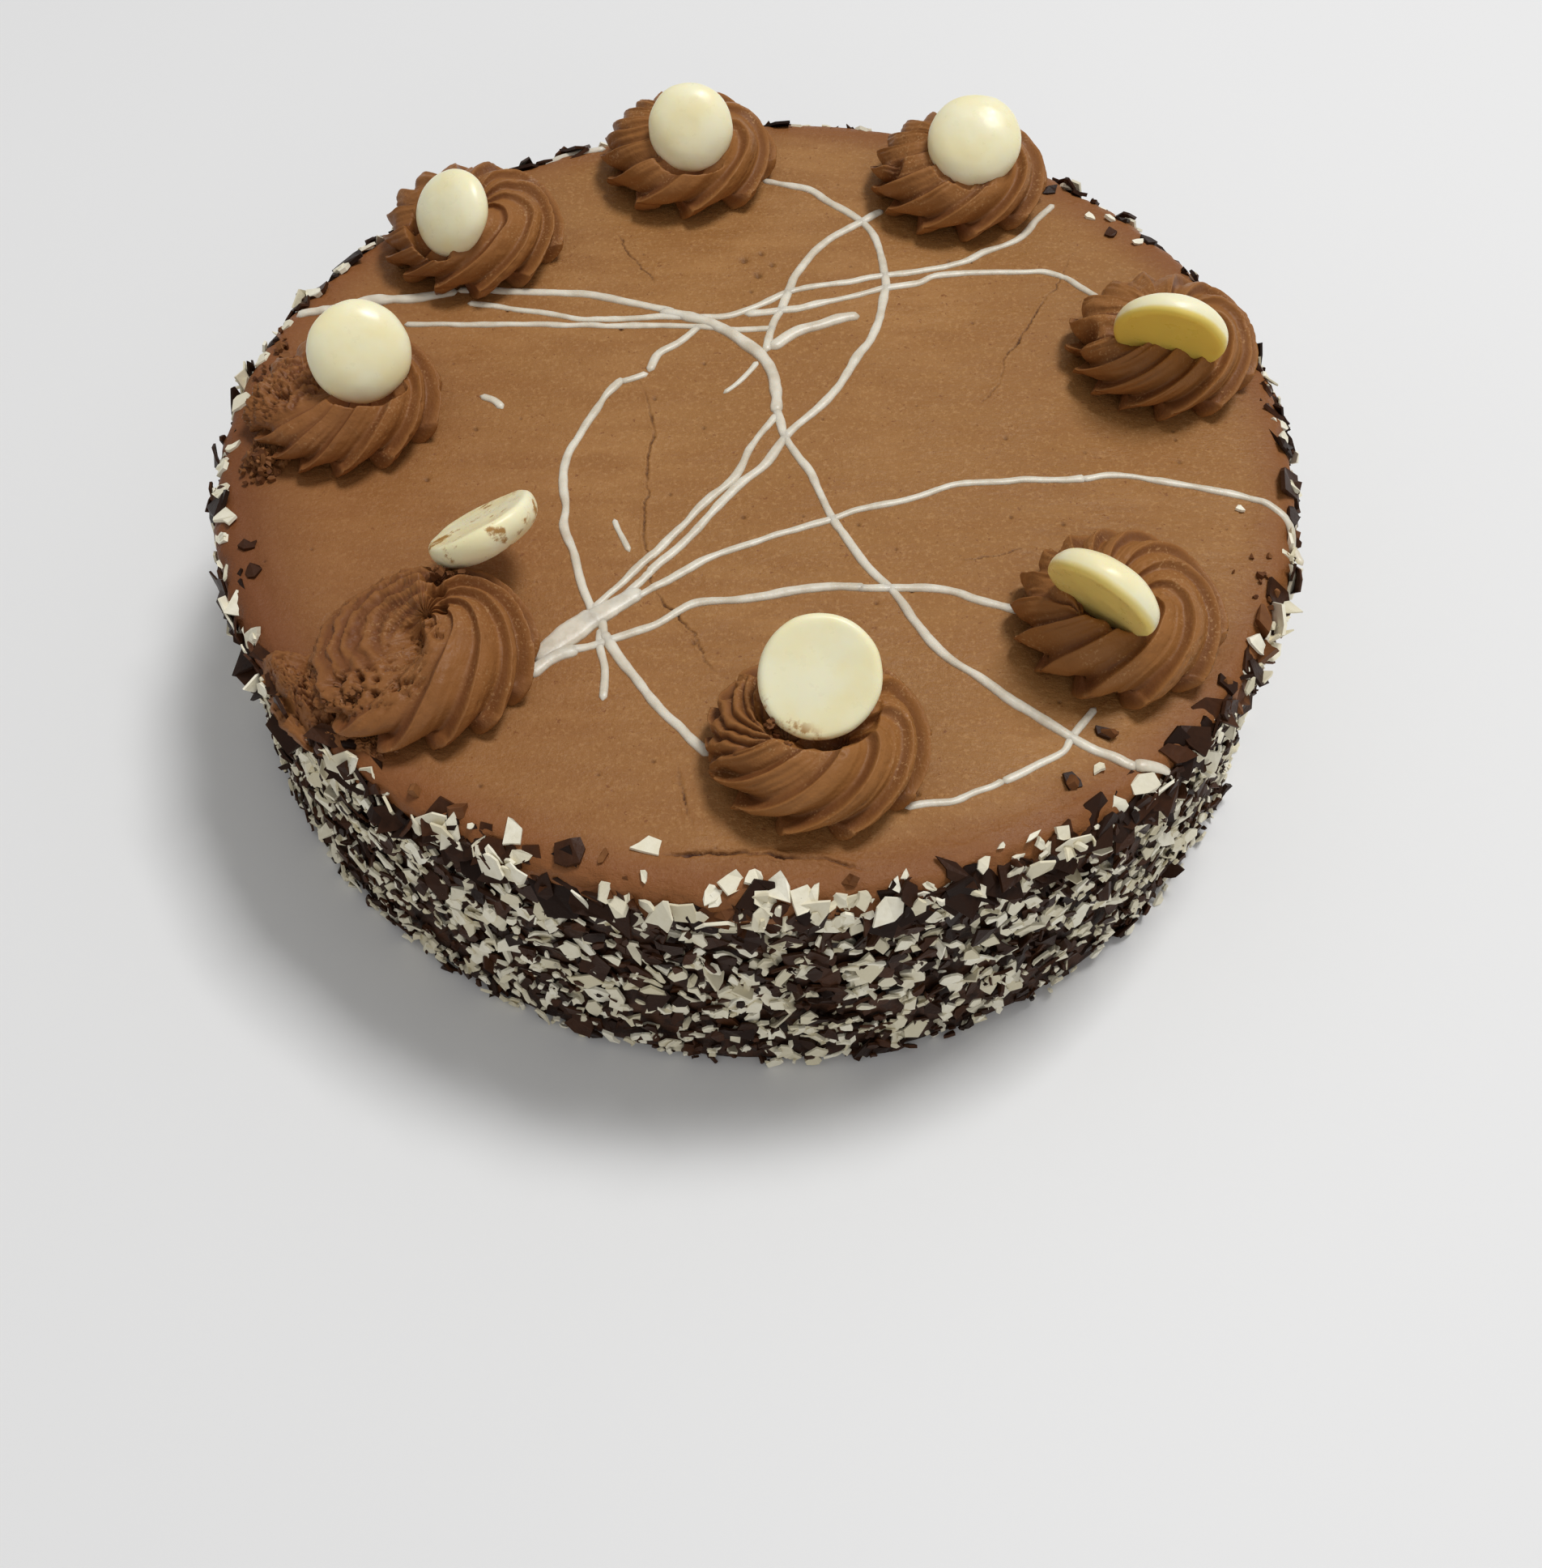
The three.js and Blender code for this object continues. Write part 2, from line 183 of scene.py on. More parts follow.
def spline(points, spacing):
    """Points at an even spacing along a smooth curve through the given ones."""
    points = np.asarray(points, dtype=float)
    padded = np.concatenate([[2 * points[0] - points[1]], points, [2 * points[-1] - points[-2]]])
    t = np.linspace(0, 1, 12, endpoint=False)[:, None]
    pieces = []
    for p0, p1, p2, p3 in zip(padded, padded[1:], padded[2:], padded[3:]):
        pieces.append(0.5 * (2 * p1 + (p2 - p0) * t + (2 * p0 - 5 * p1 + 4 * p2 - p3) * t**2
                             + (3 * p1 - p0 - 3 * p2 + p3) * t**3))
    dense = np.concatenate(pieces + [points[-1:]])
    along = lengths_along(dense)
    count = max(3, int(round(along[-1] / spacing)) + 1)
    wanted = np.linspace(0, along[-1], count)
    return np.stack([np.interp(wanted, along, dense[:, k]) for k in range(points.shape[1])], -1)


def piece(obj, slot_name, *nodes):
    """Hangs a mesh on the cake in place of the nodes it replaces. The slot name is not used."""
    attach(obj, "root")
    if nodes:
        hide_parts(*nodes)
    return obj


# Materials

def srgb(red, green, blue):
    """A colour given by its 0 to 255 values on a screen."""
    values = [channel / 255 for channel in (red, green, blue)]
    return [v / 12.92 if v <= 0.04045 else ((v + 0.055) / 1.055) ** 2.4 for v in values] + [1.0]


class Finish:
    """A procedural material whose patterns are laid out in the object's own space."""

    def __init__(self, name, roughness, specular=0.5, subsurface=0.0, reach=(1.0, 0.5, 0.25)):
        self.material = bpy.data.materials.new(name)
        self.material.use_nodes = True
        self.nodes = self.material.node_tree.nodes
        self.links = self.material.node_tree.links
        self.shader = self.nodes["Principled BSDF"]
        self.shader.inputs["Roughness"].default_value = roughness
        self.shader.inputs["Specular IOR Level"].default_value = specular
        self.shader.inputs["Subsurface Weight"].default_value = subsurface
        self.shader.inputs["Subsurface Radius"].default_value = reach
        self.shader.inputs["Subsurface Scale"].default_value = 2.0 * MM
        self.space = self.nodes.new("ShaderNodeTexCoord").outputs["Object"]
        self.normal = None

    def noise(self, size, detail=3.0, roughness=0.5, stretch=(1, 1, 1), shift=0.0):
        """A noise pattern with features of about size millimetres."""
        mapping = self.nodes.new("ShaderNodeMapping")
        mapping.inputs["Scale"].default_value = [1 / (size * MM * s) for s in stretch]
        mapping.inputs["Location"].default_value = (shift, 2 * shift, 3 * shift)
        self.links.new(self.space, mapping.inputs["Vector"])
        texture = self.nodes.new("ShaderNodeTexNoise")
        texture.inputs["Scale"].default_value = 1.0
        texture.inputs["Detail"].default_value = detail
        texture.inputs["Roughness"].default_value = roughness
        self.links.new(mapping.outputs["Vector"], texture.inputs["Vector"])
        return texture.outputs["Fac"]

    def spots(self, size, spread=0.5, shift=0.0):
        """0 at scattered points and about 1 away from them."""
        mapping = self.nodes.new("ShaderNodeMapping")
        mapping.inputs["Scale"].default_value = [1 / (size * MM)] * 3
        mapping.inputs["Location"].default_value = (shift, shift, shift)
        self.links.new(self.space, mapping.inputs["Vector"])
        texture = self.nodes.new("ShaderNodeTexVoronoi")
        texture.inputs["Scale"].default_value = 1.0
        self.links.new(mapping.outputs["Vector"], texture.inputs["Vector"])
        return self.limits(texture.outputs["Distance"], 0.0, spread)

    def reach(self):
        """Distance from the upright axis of the cake, in metres."""
        node = self.nodes.new("ShaderNodeVectorMath")
        node.operation = "MULTIPLY"
        node.inputs[1].default_value = (1.0, 1.0, 0.0)
        self.links.new(self.space, node.inputs[0])
        length = self.nodes.new("ShaderNodeVectorMath")
        length.operation = "LENGTH"
        self.links.new(node.outputs["Vector"], length.inputs[0])
        return length.outputs["Value"]

    def painted_shade_toward_left(self, start, share):
        """Painted shade: rises from 0 at a distance from the middle of the cake to a share at its left
        edge, the side away from the light.
        """
        node = self.nodes.new("ShaderNodeVectorMath")
        node.operation = "DOT_PRODUCT"
        node.inputs[1].default_value = (-0.95, -0.3, 0.0)
        self.links.new(self.space, node.inputs[0])
        return self.limits(node.outputs["Value"], start * MM, CAKE_RADIUS * MM, 0.0, share)

    def value(self, name):
        """A value stored at the points of the mesh."""
        node = self.nodes.new("ShaderNodeAttribute")
        node.attribute_name = name
        return node.outputs["Fac"]

    def limits(self, factor, low, high, start=0.0, end=1.0):
        """Goes smoothly from start to end as the factor goes from low to high."""
        node = self.nodes.new("ShaderNodeMapRange")
        node.interpolation_type = "SMOOTHSTEP"
        node.inputs["From Min"].default_value = low
        node.inputs["From Max"].default_value = high
        node.inputs["To Min"].default_value = start
        node.inputs["To Max"].default_value = end
        self.links.new(factor, node.inputs["Value"])
        return node.outputs["Result"]

    def product(self, first, second):
        node = self.nodes.new("ShaderNodeMath")
        node.operation = "MULTIPLY"
        for socket, term in zip(node.inputs, (first, second)):
            if isinstance(term, (int, float)):
                socket.default_value = term
            else:
                self.links.new(term, socket)
        return node.outputs[0]

    def mix(self, factor, first, second):
        """The first colour where the factor is 0, the second where it is 1."""
        node = self.nodes.new("ShaderNodeMix")
        node.data_type = "RGBA"
        self.links.new(factor, node.inputs["Factor"])
        for socket, colour in ((node.inputs[6], first), (node.inputs[7], second)):
            if isinstance(colour, list):
                socket.default_value = colour
            else:
                self.links.new(colour, socket)
        return node.outputs[2]

    def bump(self, height, distance, strength=1.0):
        node = self.nodes.new("ShaderNodeBump")
        node.inputs["Distance"].default_value = distance * MM
        node.inputs["Strength"].default_value = strength
        self.links.new(height, node.inputs["Height"])
        if self.normal is not None:
            self.links.new(self.normal, node.inputs["Normal"])
        self.normal = node.outputs["Normal"]

    def done(self, colour, roughness=None):
        self.links.new(colour, self.shader.inputs["Base Color"])
        if roughness is not None:
            self.links.new(roughness, self.shader.inputs["Roughness"])
        if self.normal is not None:
            self.links.new(self.normal, self.shader.inputs["Normal"])
        return self.material


def cream_finish():
    finish = Finish("cream_finish", roughness=0.46, specular=0.22, subsurface=0.03)
    broad = finish.limits(finish.noise(38, detail=2), 0.35, 0.65)
    colour = finish.mix(broad, srgb(156, 109, 60), srgb(167, 119, 69))
    streak = finish.limits(finish.noise(5, stretch=(3.5, 1, 1), shift=3), 0.35, 0.7)
    colour = finish.mix(streak, colour, srgb(153, 105, 57))
    speck = finish.limits(finish.noise(0.8, detail=3, roughness=0.6, shift=5), 0.5, 0.7, 0.0, 0.6)
    colour = finish.mix(speck, colour, srgb(182, 136, 86))
    fleck = finish.limits(finish.noise(1.3, detail=3, roughness=0.7, shift=7), 0.3, 0.36, 1.0, 0.0)
    colour = finish.mix(fleck, colour, srgb(134, 86, 46))
    # Painted shade: the cream darkens towards its rim, where the sheen that lights its middle falls
    # off.
    rim = finish.limits(finish.reach(), 96 * MM, 108 * MM)
    colour = finish.mix(finish.product(rim, 0.7), colour, srgb(130, 76, 40))
    # Painted shade: darker towards the cake's left, away from the light, and darker still at the left
    # rim.
    colour = finish.mix(finish.painted_shade_toward_left(5, 0.5), colour, srgb(136, 82, 46))
    colour = finish.mix(finish.painted_shade_toward_left(85, 0.7), colour, srgb(108, 62, 35))
    # Painted shade in the cracks and small holes.
    colour = finish.mix(finish.value("painted_crack_and_pit_shade"), colour, srgb(66, 34, 20))
    finish.bump(finish.noise(7, detail=6, roughness=0.72, stretch=(2.2, 1, 1)), 0.8, 0.8)
    finish.bump(finish.noise(1.3, detail=4, roughness=0.7), 0.3, 0.9)
    finish.bump(finish.spots(2.6, 0.16, shift=2), 0.12, 0.7)
    rough = finish.limits(finish.noise(9, detail=4, shift=8), 0.3, 0.7, 0.4, 0.56)
    return finish.done(colour, rough)


def rosette_finish():
    finish = Finish("rosette_finish", roughness=0.5, specular=0.18, subsurface=0.03)
    # Painted shade and light from the mesh: darker in grooves, folds, hollows and holes, paler on
    # crests towards the light.
    painted_shade_tone = finish.limits(finish.value("painted_shade_tone"), 0.0, 0.9)
    colour = finish.mix(painted_shade_tone, srgb(112, 68, 37), srgb(154, 103, 55))
    mottle = finish.limits(finish.noise(6, detail=4, shift=1), 0.4, 0.75)
    colour = finish.mix(finish.product(mottle, 0.6), colour, srgb(140, 92, 48))
    # Paler fine speckles in random patches.
    pale_speckle = finish.limits(finish.noise(0.55, detail=2, shift=5), 0.56, 0.68)
    patch = finish.limits(finish.noise(9, detail=2, shift=9), 0.45, 0.62)
    pale_speckle = finish.product(finish.product(pale_speckle, patch), 0.65)
    colour = finish.mix(pale_speckle, colour, srgb(184, 140, 94))
    # Painted shade: darker towards the cake's left, away from the light.
    colour = finish.mix(finish.painted_shade_toward_left(5, 0.4), colour, srgb(126, 76, 44))
    finish.bump(finish.noise(0.7, detail=3), 0.12, 0.8)
    finish.bump(finish.noise(2.4, detail=5, roughness=0.65), 0.34, 0.7)
    rough = finish.limits(finish.noise(4, detail=4, shift=8), 0.3, 0.7, 0.38, 0.56)
    return finish.done(colour, rough)


def button_finish():
    finish = Finish("button_finish", roughness=0.3, specular=0.45, subsurface=0.25,
                    reach=(1.2, 0.9, 0.4))
    broad = finish.limits(finish.noise(9, detail=3), 0.3, 0.7)
    colour = finish.mix(broad, srgb(254, 241, 192), srgb(255, 248, 212))
    # Painted shade and reflected light: the flat side is painted yellow where it faces down towards
    # the brown cream, away from the light.
    colour = finish.mix(finish.value("flat"), colour, srgb(246, 218, 100))
    smudge = finish.limits(finish.noise(4.5, detail=5, roughness=0.65, shift=4), 0.54, 0.64)
    smudge = finish.product(smudge, finish.value("smudge"))
    colour = finish.mix(smudge, colour, srgb(178, 134, 74))
    finish.bump(finish.noise(5, detail=3), 0.12, 0.4)
    rough = finish.limits(finish.noise(2.5, detail=4, shift=2), 0.3, 0.7, 0.26, 0.42)
    return finish.done(colour, rough)


def drizzle_finish():
    finish = Finish("drizzle_finish", roughness=0.36, subsurface=0.2, reach=(1.0, 0.7, 0.5))
    broad = finish.limits(finish.noise(4, detail=3), 0.3, 0.7)
    colour = finish.mix(broad, srgb(210, 198, 177), srgb(232, 223, 205))
    finish.bump(finish.noise(0.9, detail=3), 0.1, 0.6)
    return finish.done(colour)


def flake_finish(name, dark, light, roughness=0.45):
    finish = Finish(name, roughness=roughness, specular=0.15)
    colour = finish.mix(finish.value("tint"), dark, light)
    cloud = finish.limits(finish.noise(1.6, detail=4), 0.35, 0.75)
    colour = finish.mix(finish.product(cloud, 0.35), colour, dark)
    finish.bump(finish.noise(0.8, detail=4), 0.12, 0.8)
    return finish.done(colour)


def side_finish():
    finish = Finish("side_finish", roughness=0.6, specular=0.3)
    broad = finish.limits(finish.noise(3.5, detail=5, roughness=0.6), 0.3, 0.7)
    colour = finish.mix(broad, srgb(38, 23, 15), srgb(78, 48, 31))
    finish.bump(finish.noise(1.5, detail=5), 0.5, 0.8)
    return finish.done(colour)


def floor_finish():
    finish = Finish("floor_finish", roughness=0.55, specular=0.3)
    colour = finish.mix(finish.noise(400, detail=2), srgb(236, 236, 236), srgb(241, 241, 241))
    return finish.done(colour)


CREAM = cream_finish()
ROSETTE = rosette_finish()
BUTTON = button_finish()
DRIZZLE = drizzle_finish()
SIDE = side_finish()
WHITE_FLAKE = flake_finish("white_flake_finish", srgb(222, 212, 181), srgb(254, 249, 230))
DARK_FLAKE = flake_finish("dark_flake_finish", srgb(34, 19, 11), srgb(76, 44, 24))
CRUMB = flake_finish("crumb_finish", srgb(92, 54, 30), srgb(142, 94, 54), roughness=0.6)


# Outline and top of the cake

OVAL_SWELL = 0.006
THREE_SIDED_SWELL = 0.012
SWELL_ANGLE = math.radians(50)


def outline_scale(angle):
    """The cake is a little out of round, as the solid model is."""
    turn = angle - SWELL_ANGLE
    return 1 + OVAL_SWELL * np.cos(2 * turn) + THREE_SIDED_SWELL * np.cos(3 * turn)


# Cracks on the top: points, half width, depth
CRACKS = [
    ([(-26, 18), (-23, 10), (-22, 1), (-23, -7), (-23, -13), (-23, -22), (-22, -31), (-22, -35),
      (-20, -41), (-16, -47), (-12, -53), (-9, -61)], 0.19, 0.5),
    ([(69, 58), (65, 48), (56, 33), (52, 25), (50, 17), (46, 11)], 0.16, 0.35),
    ([(-17, -101), (-8, -101), (3, -101), (11, -102), (18, -104)], 0.28, 0.7),
    ([(-15, -82), (-14, -86), (-13, -92), (-12, -95)], 0.2, 0.45),
    ([(39, -33), (45, -32), (51, -30)], 0.15, 0.3),
    ([(-33, 66), (-28, 56), (-23, 49)], 0.16, 0.35),
    ([(32.8, -101.5), (32.5, -104.5)], 0.4, 0.9),
]
# Round dents left by bubbles: x, y, radius
RINGS = [
    (34.7, -96.4, 2.0), (43.3, -94.2, 2.3), (48.5, -91.3, 1.9), (51.4, -90.1, 1.6),
    (53.7, -90.4, 1.8), (47.2, -93.2, 1.5), (-31.3, -79.3, 2.1), (-28.6, -85.5, 1.8),
    (8.3, -102.6, 1.7),
]
# Small holes: x, y, radius
PITS = [(-4.0, 56.9, 0.8), (-0.2, 59.2, 0.6), (2.2, 55.3, 0.6), (-0.9, 51.9, 0.8)]


def scattered_pits(count):
    """Tiny holes all over the top: x, y, radius."""
    random = np.random.default_rng(5)
    reach = FLAT_RADIUS * np.sqrt(random.random(count)) * 0.98
    turn = random.random(count) * 2 * math.pi
    return [(r * math.cos(a), r * math.sin(a), s)
            for r, a, s in zip(reach, turn, random.uniform(0.22, 0.5, count))]


ALL_PITS = PITS + scattered_pits(70)


def distance_to_line(x, y, line):
    """Distance to a broken line, and how far along it the nearest point is, from 0 to 1."""
    best = np.full(len(x), 1e9)
    share = np.zeros(len(x))
    count = len(line) - 1
    for number, ((ax, ay), (bx, by)) in enumerate(zip(line, line[1:])):
        dx, dy = bx - ax, by - ay
        t = np.clip(((x - ax) * dx + (y - ay) * dy) / (dx * dx + dy * dy), 0, 1)
        far = np.hypot(x - ax - t * dx, y - ay - t * dy)
        nearer = far < best
        best = np.where(nearer, far, best)
        share = np.where(nearer, (number + t) / count, share)
    return best, share


def top_relief(x, y):
    """How far the cream stands above its mean height, and the painted shade in its cracks and small
    holes, 0 to 1.
    """
    spots = flat_points(x, y)
    relief = 0.3 * noise(spots, 45, 1) + 0.06 * noise(spots, (22, 7, 1), 2, 3)
    relief += 0.05 * noise(spots, 4.0, 3, 2)
    painted_crack_and_pit_shade = np.zeros(len(x))
    jog_x = 1.0 * noise(spots, 5, 4, 5, 0.66)
    jog_y = 1.0 * noise(spots, 5, 5, 5, 0.66)
    for line, half, depth in CRACKS:
        far, share = distance_to_line(x + jog_x, y + jog_y, line)
        taper = np.clip(6 * np.minimum(share, 1 - share) + 0.25, 0, 1)
        uneven = 0.65 + 0.5 * noise(spots, 4, 6)
        cut = np.exp(-((far / half) ** 2)) * taper * uneven
        relief -= depth * cut
        relief += 0.2 * depth * np.exp(-(((far - 3 * half) / (1.6 * half)) ** 2)) * taper
        painted_crack_and_pit_shade = np.maximum(painted_crack_and_pit_shade, np.clip(cut, 0, 1))
    for cx, cy, radius in RINGS:
        far = np.hypot(x - cx, y - cy)
        turn = np.arctan2(y - cy, x - cx)
        arc = 0.5 + 0.5 * np.sin(turn + cx)
        relief -= 0.2 * arc**2 * np.exp(-(((far - radius) / 0.22) ** 2))
        relief -= 0.05 * (1 - smoothstep(far, 0.6 * radius, radius))
    for cx, cy, radius in ALL_PITS:
        far = np.hypot(x - cx, y - cy)
        dip = np.exp(-((far / radius) ** 2))
        relief -= 0.9 * radius * dip
        painted_crack_and_pit_shade = np.maximum(painted_crack_and_pit_shade, 0.55 * dip)
    edge = np.hypot(x, y) / outline_scale(np.arctan2(y, x))
    turn = np.arctan2(y, x)
    near = smoothstep(edge, FLAT_RADIUS - 14, FLAT_RADIUS - 1)
    wave = noise(np.stack([turn * 5.5, edge / 2.6, np.zeros_like(x)], -1), 1.0, 9, 2)
    relief += near * (0.3 * wave - 0.12)
    return relief, painted_crack_and_pit_shade


def surface(x, y):
    """Height of the cream at points of the top, down over its rounded shoulder."""
    edge = np.hypot(x, y) / outline_scale(np.arctan2(y, x))
    over = np.clip(edge - FLAT_RADIUS, 0, SHOULDER_RADIUS)
    drop = SHOULDER_RADIUS - np.sqrt(SHOULDER_RADIUS**2 - over**2)
    return CAKE_HEIGHT + top_relief(x, y)[0] - drop


def shoulder_normal(x, y):
    """The outward direction of the flat top or the rounded shoulder at points of the top."""
    turn = np.arctan2(y, x)
    edge = np.hypot(x, y) / outline_scale(turn)
    lean = np.clip((edge - FLAT_RADIUS) / SHOULDER_RADIUS, 0, 1)
    rise = np.sqrt(np.maximum(1 - lean**2, 0.02))
    return np.stack([lean * np.cos(turn), lean * np.sin(turn), rise], axis=-1)


def disc_grid(half_count):
    """A square grid bent into a disc of radius 1, and the indices of its outer ring."""
    steps = np.linspace(-1, 1, 2 * half_count + 1)
    a, b = np.meshgrid(steps, steps, indexing="ij")
    wide = np.abs(a) >= np.abs(b)
    reach = np.where(wide, a, b)
    other = np.where(wide, b, a)
    turn = 0.25 * math.pi * np.divide(other, reach, out=np.zeros_like(reach), where=reach != 0)
    x = np.where(wide, reach * np.cos(turn), reach * np.sin(turn))
    y = np.where(wide, reach * np.sin(turn), reach * np.cos(turn))
    side = 2 * half_count + 1
    index = np.arange(side * side).reshape(side, side)
    faces = np.stack([index[:-1, :-1], index[1:, :-1], index[1:, 1:], index[:-1, 1:]], -1)
    ring = np.concatenate([index[:-1, 0], index[-1, :-1], index[:0:-1, -1], index[0, :0:-1]])
    return x.ravel(), y.ravel(), faces.reshape(-1, 4), ring


def refined(x, y, faces, wanted_length):
    """Splits triangles of a flat mesh until no edge is longer than wanted_length(x, y)."""
    sheet = bmesh.new()
    vertices = [sheet.verts.new((px, py, 0)) for px, py in zip(x, y)]
    for corners in faces:
        sheet.faces.new([vertices[k] for k in corners])
    for _ in range(4):
        sheet.verts.index_update()
        flat = np.array([v.co[:2] for v in sheet.verts])
        edges = np.array([(e.verts[0].index, e.verts[1].index) for e in sheet.edges])
        limit = wanted_length(flat[:, 0], flat[:, 1])
        length = np.linalg.norm(flat[edges[:, 0]] - flat[edges[:, 1]], axis=1)
        long = length > 1.25 * np.minimum(limit[edges[:, 0]], limit[edges[:, 1]])
        if not long.any():
            break
        chosen = [edge for edge, split in zip(sheet.edges, long) if split]
        bmesh.ops.subdivide_edges(sheet, edges=chosen, cuts=1, use_grid_fill=True)
        bmesh.ops.triangulate(sheet, faces=[f for f in sheet.faces if len(f.verts) > 4])
    bmesh.ops.triangulate(sheet, faces=sheet.faces[:])
    sheet.verts.index_update()
    points = np.array([v.co[:2] for v in sheet.verts])
    triangles = np.array([[v.index for v in f.verts] for f in sheet.faces])
    sheet.free()
    return points[:, 0], points[:, 1], triangles


# Edge lengths of the top's mesh: in plain parts, at cracks, at round dents and at small holes
PLAIN_EDGE, CRACK_EDGE, RING_EDGE, PIT_EDGE = 1.6, 0.24, 0.4, 0.3
TOP_HALF_COUNT = 70


def wanted_edge(x, y):
    """The edge length that the cracks, round dents and holes of the top need."""
    wanted = np.full(len(x), PLAIN_EDGE)
    for line, _, _ in CRACKS:
        far, _ = distance_to_line(x, y, line)
        wanted[far < 1.7] = CRACK_EDGE
    for cx, cy, radius in RINGS:
        near = np.hypot(x - cx, y - cy) < radius + 1
        wanted[near] = np.minimum(wanted[near], RING_EDGE)
    for cx, cy, radius in ALL_PITS:
        near = np.hypot(x - cx, y - cy) < 1.5 * radius + 0.9
        wanted[near] = np.minimum(wanted[near], PIT_EDGE)
    return wanted


def shoulder_points(ring_x, ring_y):
    """Rows of points down the cream's shoulder and side and in under it, from a ring round the top."""
    columns = len(ring_x)
    bend = np.linspace(0, 0.5 * math.pi, 16)[1:]
    reaches = FLAT_RADIUS + SHOULDER_RADIUS * np.sin(bend)
    drops = SHOULDER_RADIUS * (1 - np.cos(bend))
    reaches = np.concatenate([reaches, [CAKE_RADIUS] * 2, [FLAT_RADIUS, 60]])
    drops = np.concatenate([drops, [5.6, CREAM_SIDE, CREAM_SIDE, CREAM_SIDE]])
    angles = np.broadcast_to(np.arctan2(ring_y, ring_x), (len(reaches), columns))
    outs = reaches[:, None] * outline_scale(angles)
    fade = np.clip(1 - drops / SHOULDER_RADIUS, 0, 1)[:, None]
    height = CAKE_HEIGHT - drops[:, None] + fade * top_relief(ring_x, ring_y)[0]
    points = np.stack([outs * np.cos(angles), outs * np.sin(angles), height], axis=-1).reshape(-1, 3)
    rough = 0.7 * noise(points, (9, 9, 5), 21, 3) + 0.25 * noise(points, 2.2, 22)
    strength = np.interp(drops, [0, 1.5, 6.0, 6.5], [0, 1, 1, 0]) * (reaches > FLAT_RADIUS)
    outward = np.stack([np.cos(angles), np.sin(angles), np.full_like(angles, 0.4)], -1).reshape(-1, 3)
    points += (np.minimum(rough, 0.5) * np.repeat(strength, columns))[:, None] * outward
    return points.reshape(len(reaches), columns, 3)


def make_cream():
    x, y, quads, ring = disc_grid(TOP_HALF_COUNT)
    turn = np.arctan2(y, x)
    reach = np.hypot(x, y) * FLAT_RADIUS * outline_scale(turn)
    x, y = reach * np.cos(turn), reach * np.sin(turn)
    shoulder = shoulder_points(x[ring], y[ring])
    x, y, faces = refined(x, y, quads, wanted_edge)
    relief, painted_crack_and_pit_shade = top_relief(x, y)
    top = np.stack([x, y, CAKE_HEIGHT + relief], axis=-1)

    rows, columns = shoulder.shape[:2]
    grid = len(top) + np.arange(rows * columns).reshape(rows, columns)
    grid = np.concatenate([ring[None, :], grid])
    a, b = grid[:-1], grid[1:]
    sides = np.stack([a, b, np.roll(b, -1, 1), np.roll(a, -1, 1)], -1).reshape(-1, 4)
    centre = len(top) + rows * columns
    last = grid[-1]
    under = np.stack([np.full(columns, centre), np.roll(last, -1), last], -1)
    points = np.concatenate([top, shoulder.reshape(-1, 3), [[0, 0, CAKE_HEIGHT - CREAM_SIDE]]])
    painted_crack_and_pit_shades = np.concatenate([painted_crack_and_pit_shade, np.zeros(rows * columns + 1)])
    cream = mesh_object("cream", points, [faces, sides, under], CREAM, {"painted_crack_and_pit_shade": painted_crack_and_pit_shades})
    return piece(cream, "cream", "cream_top")


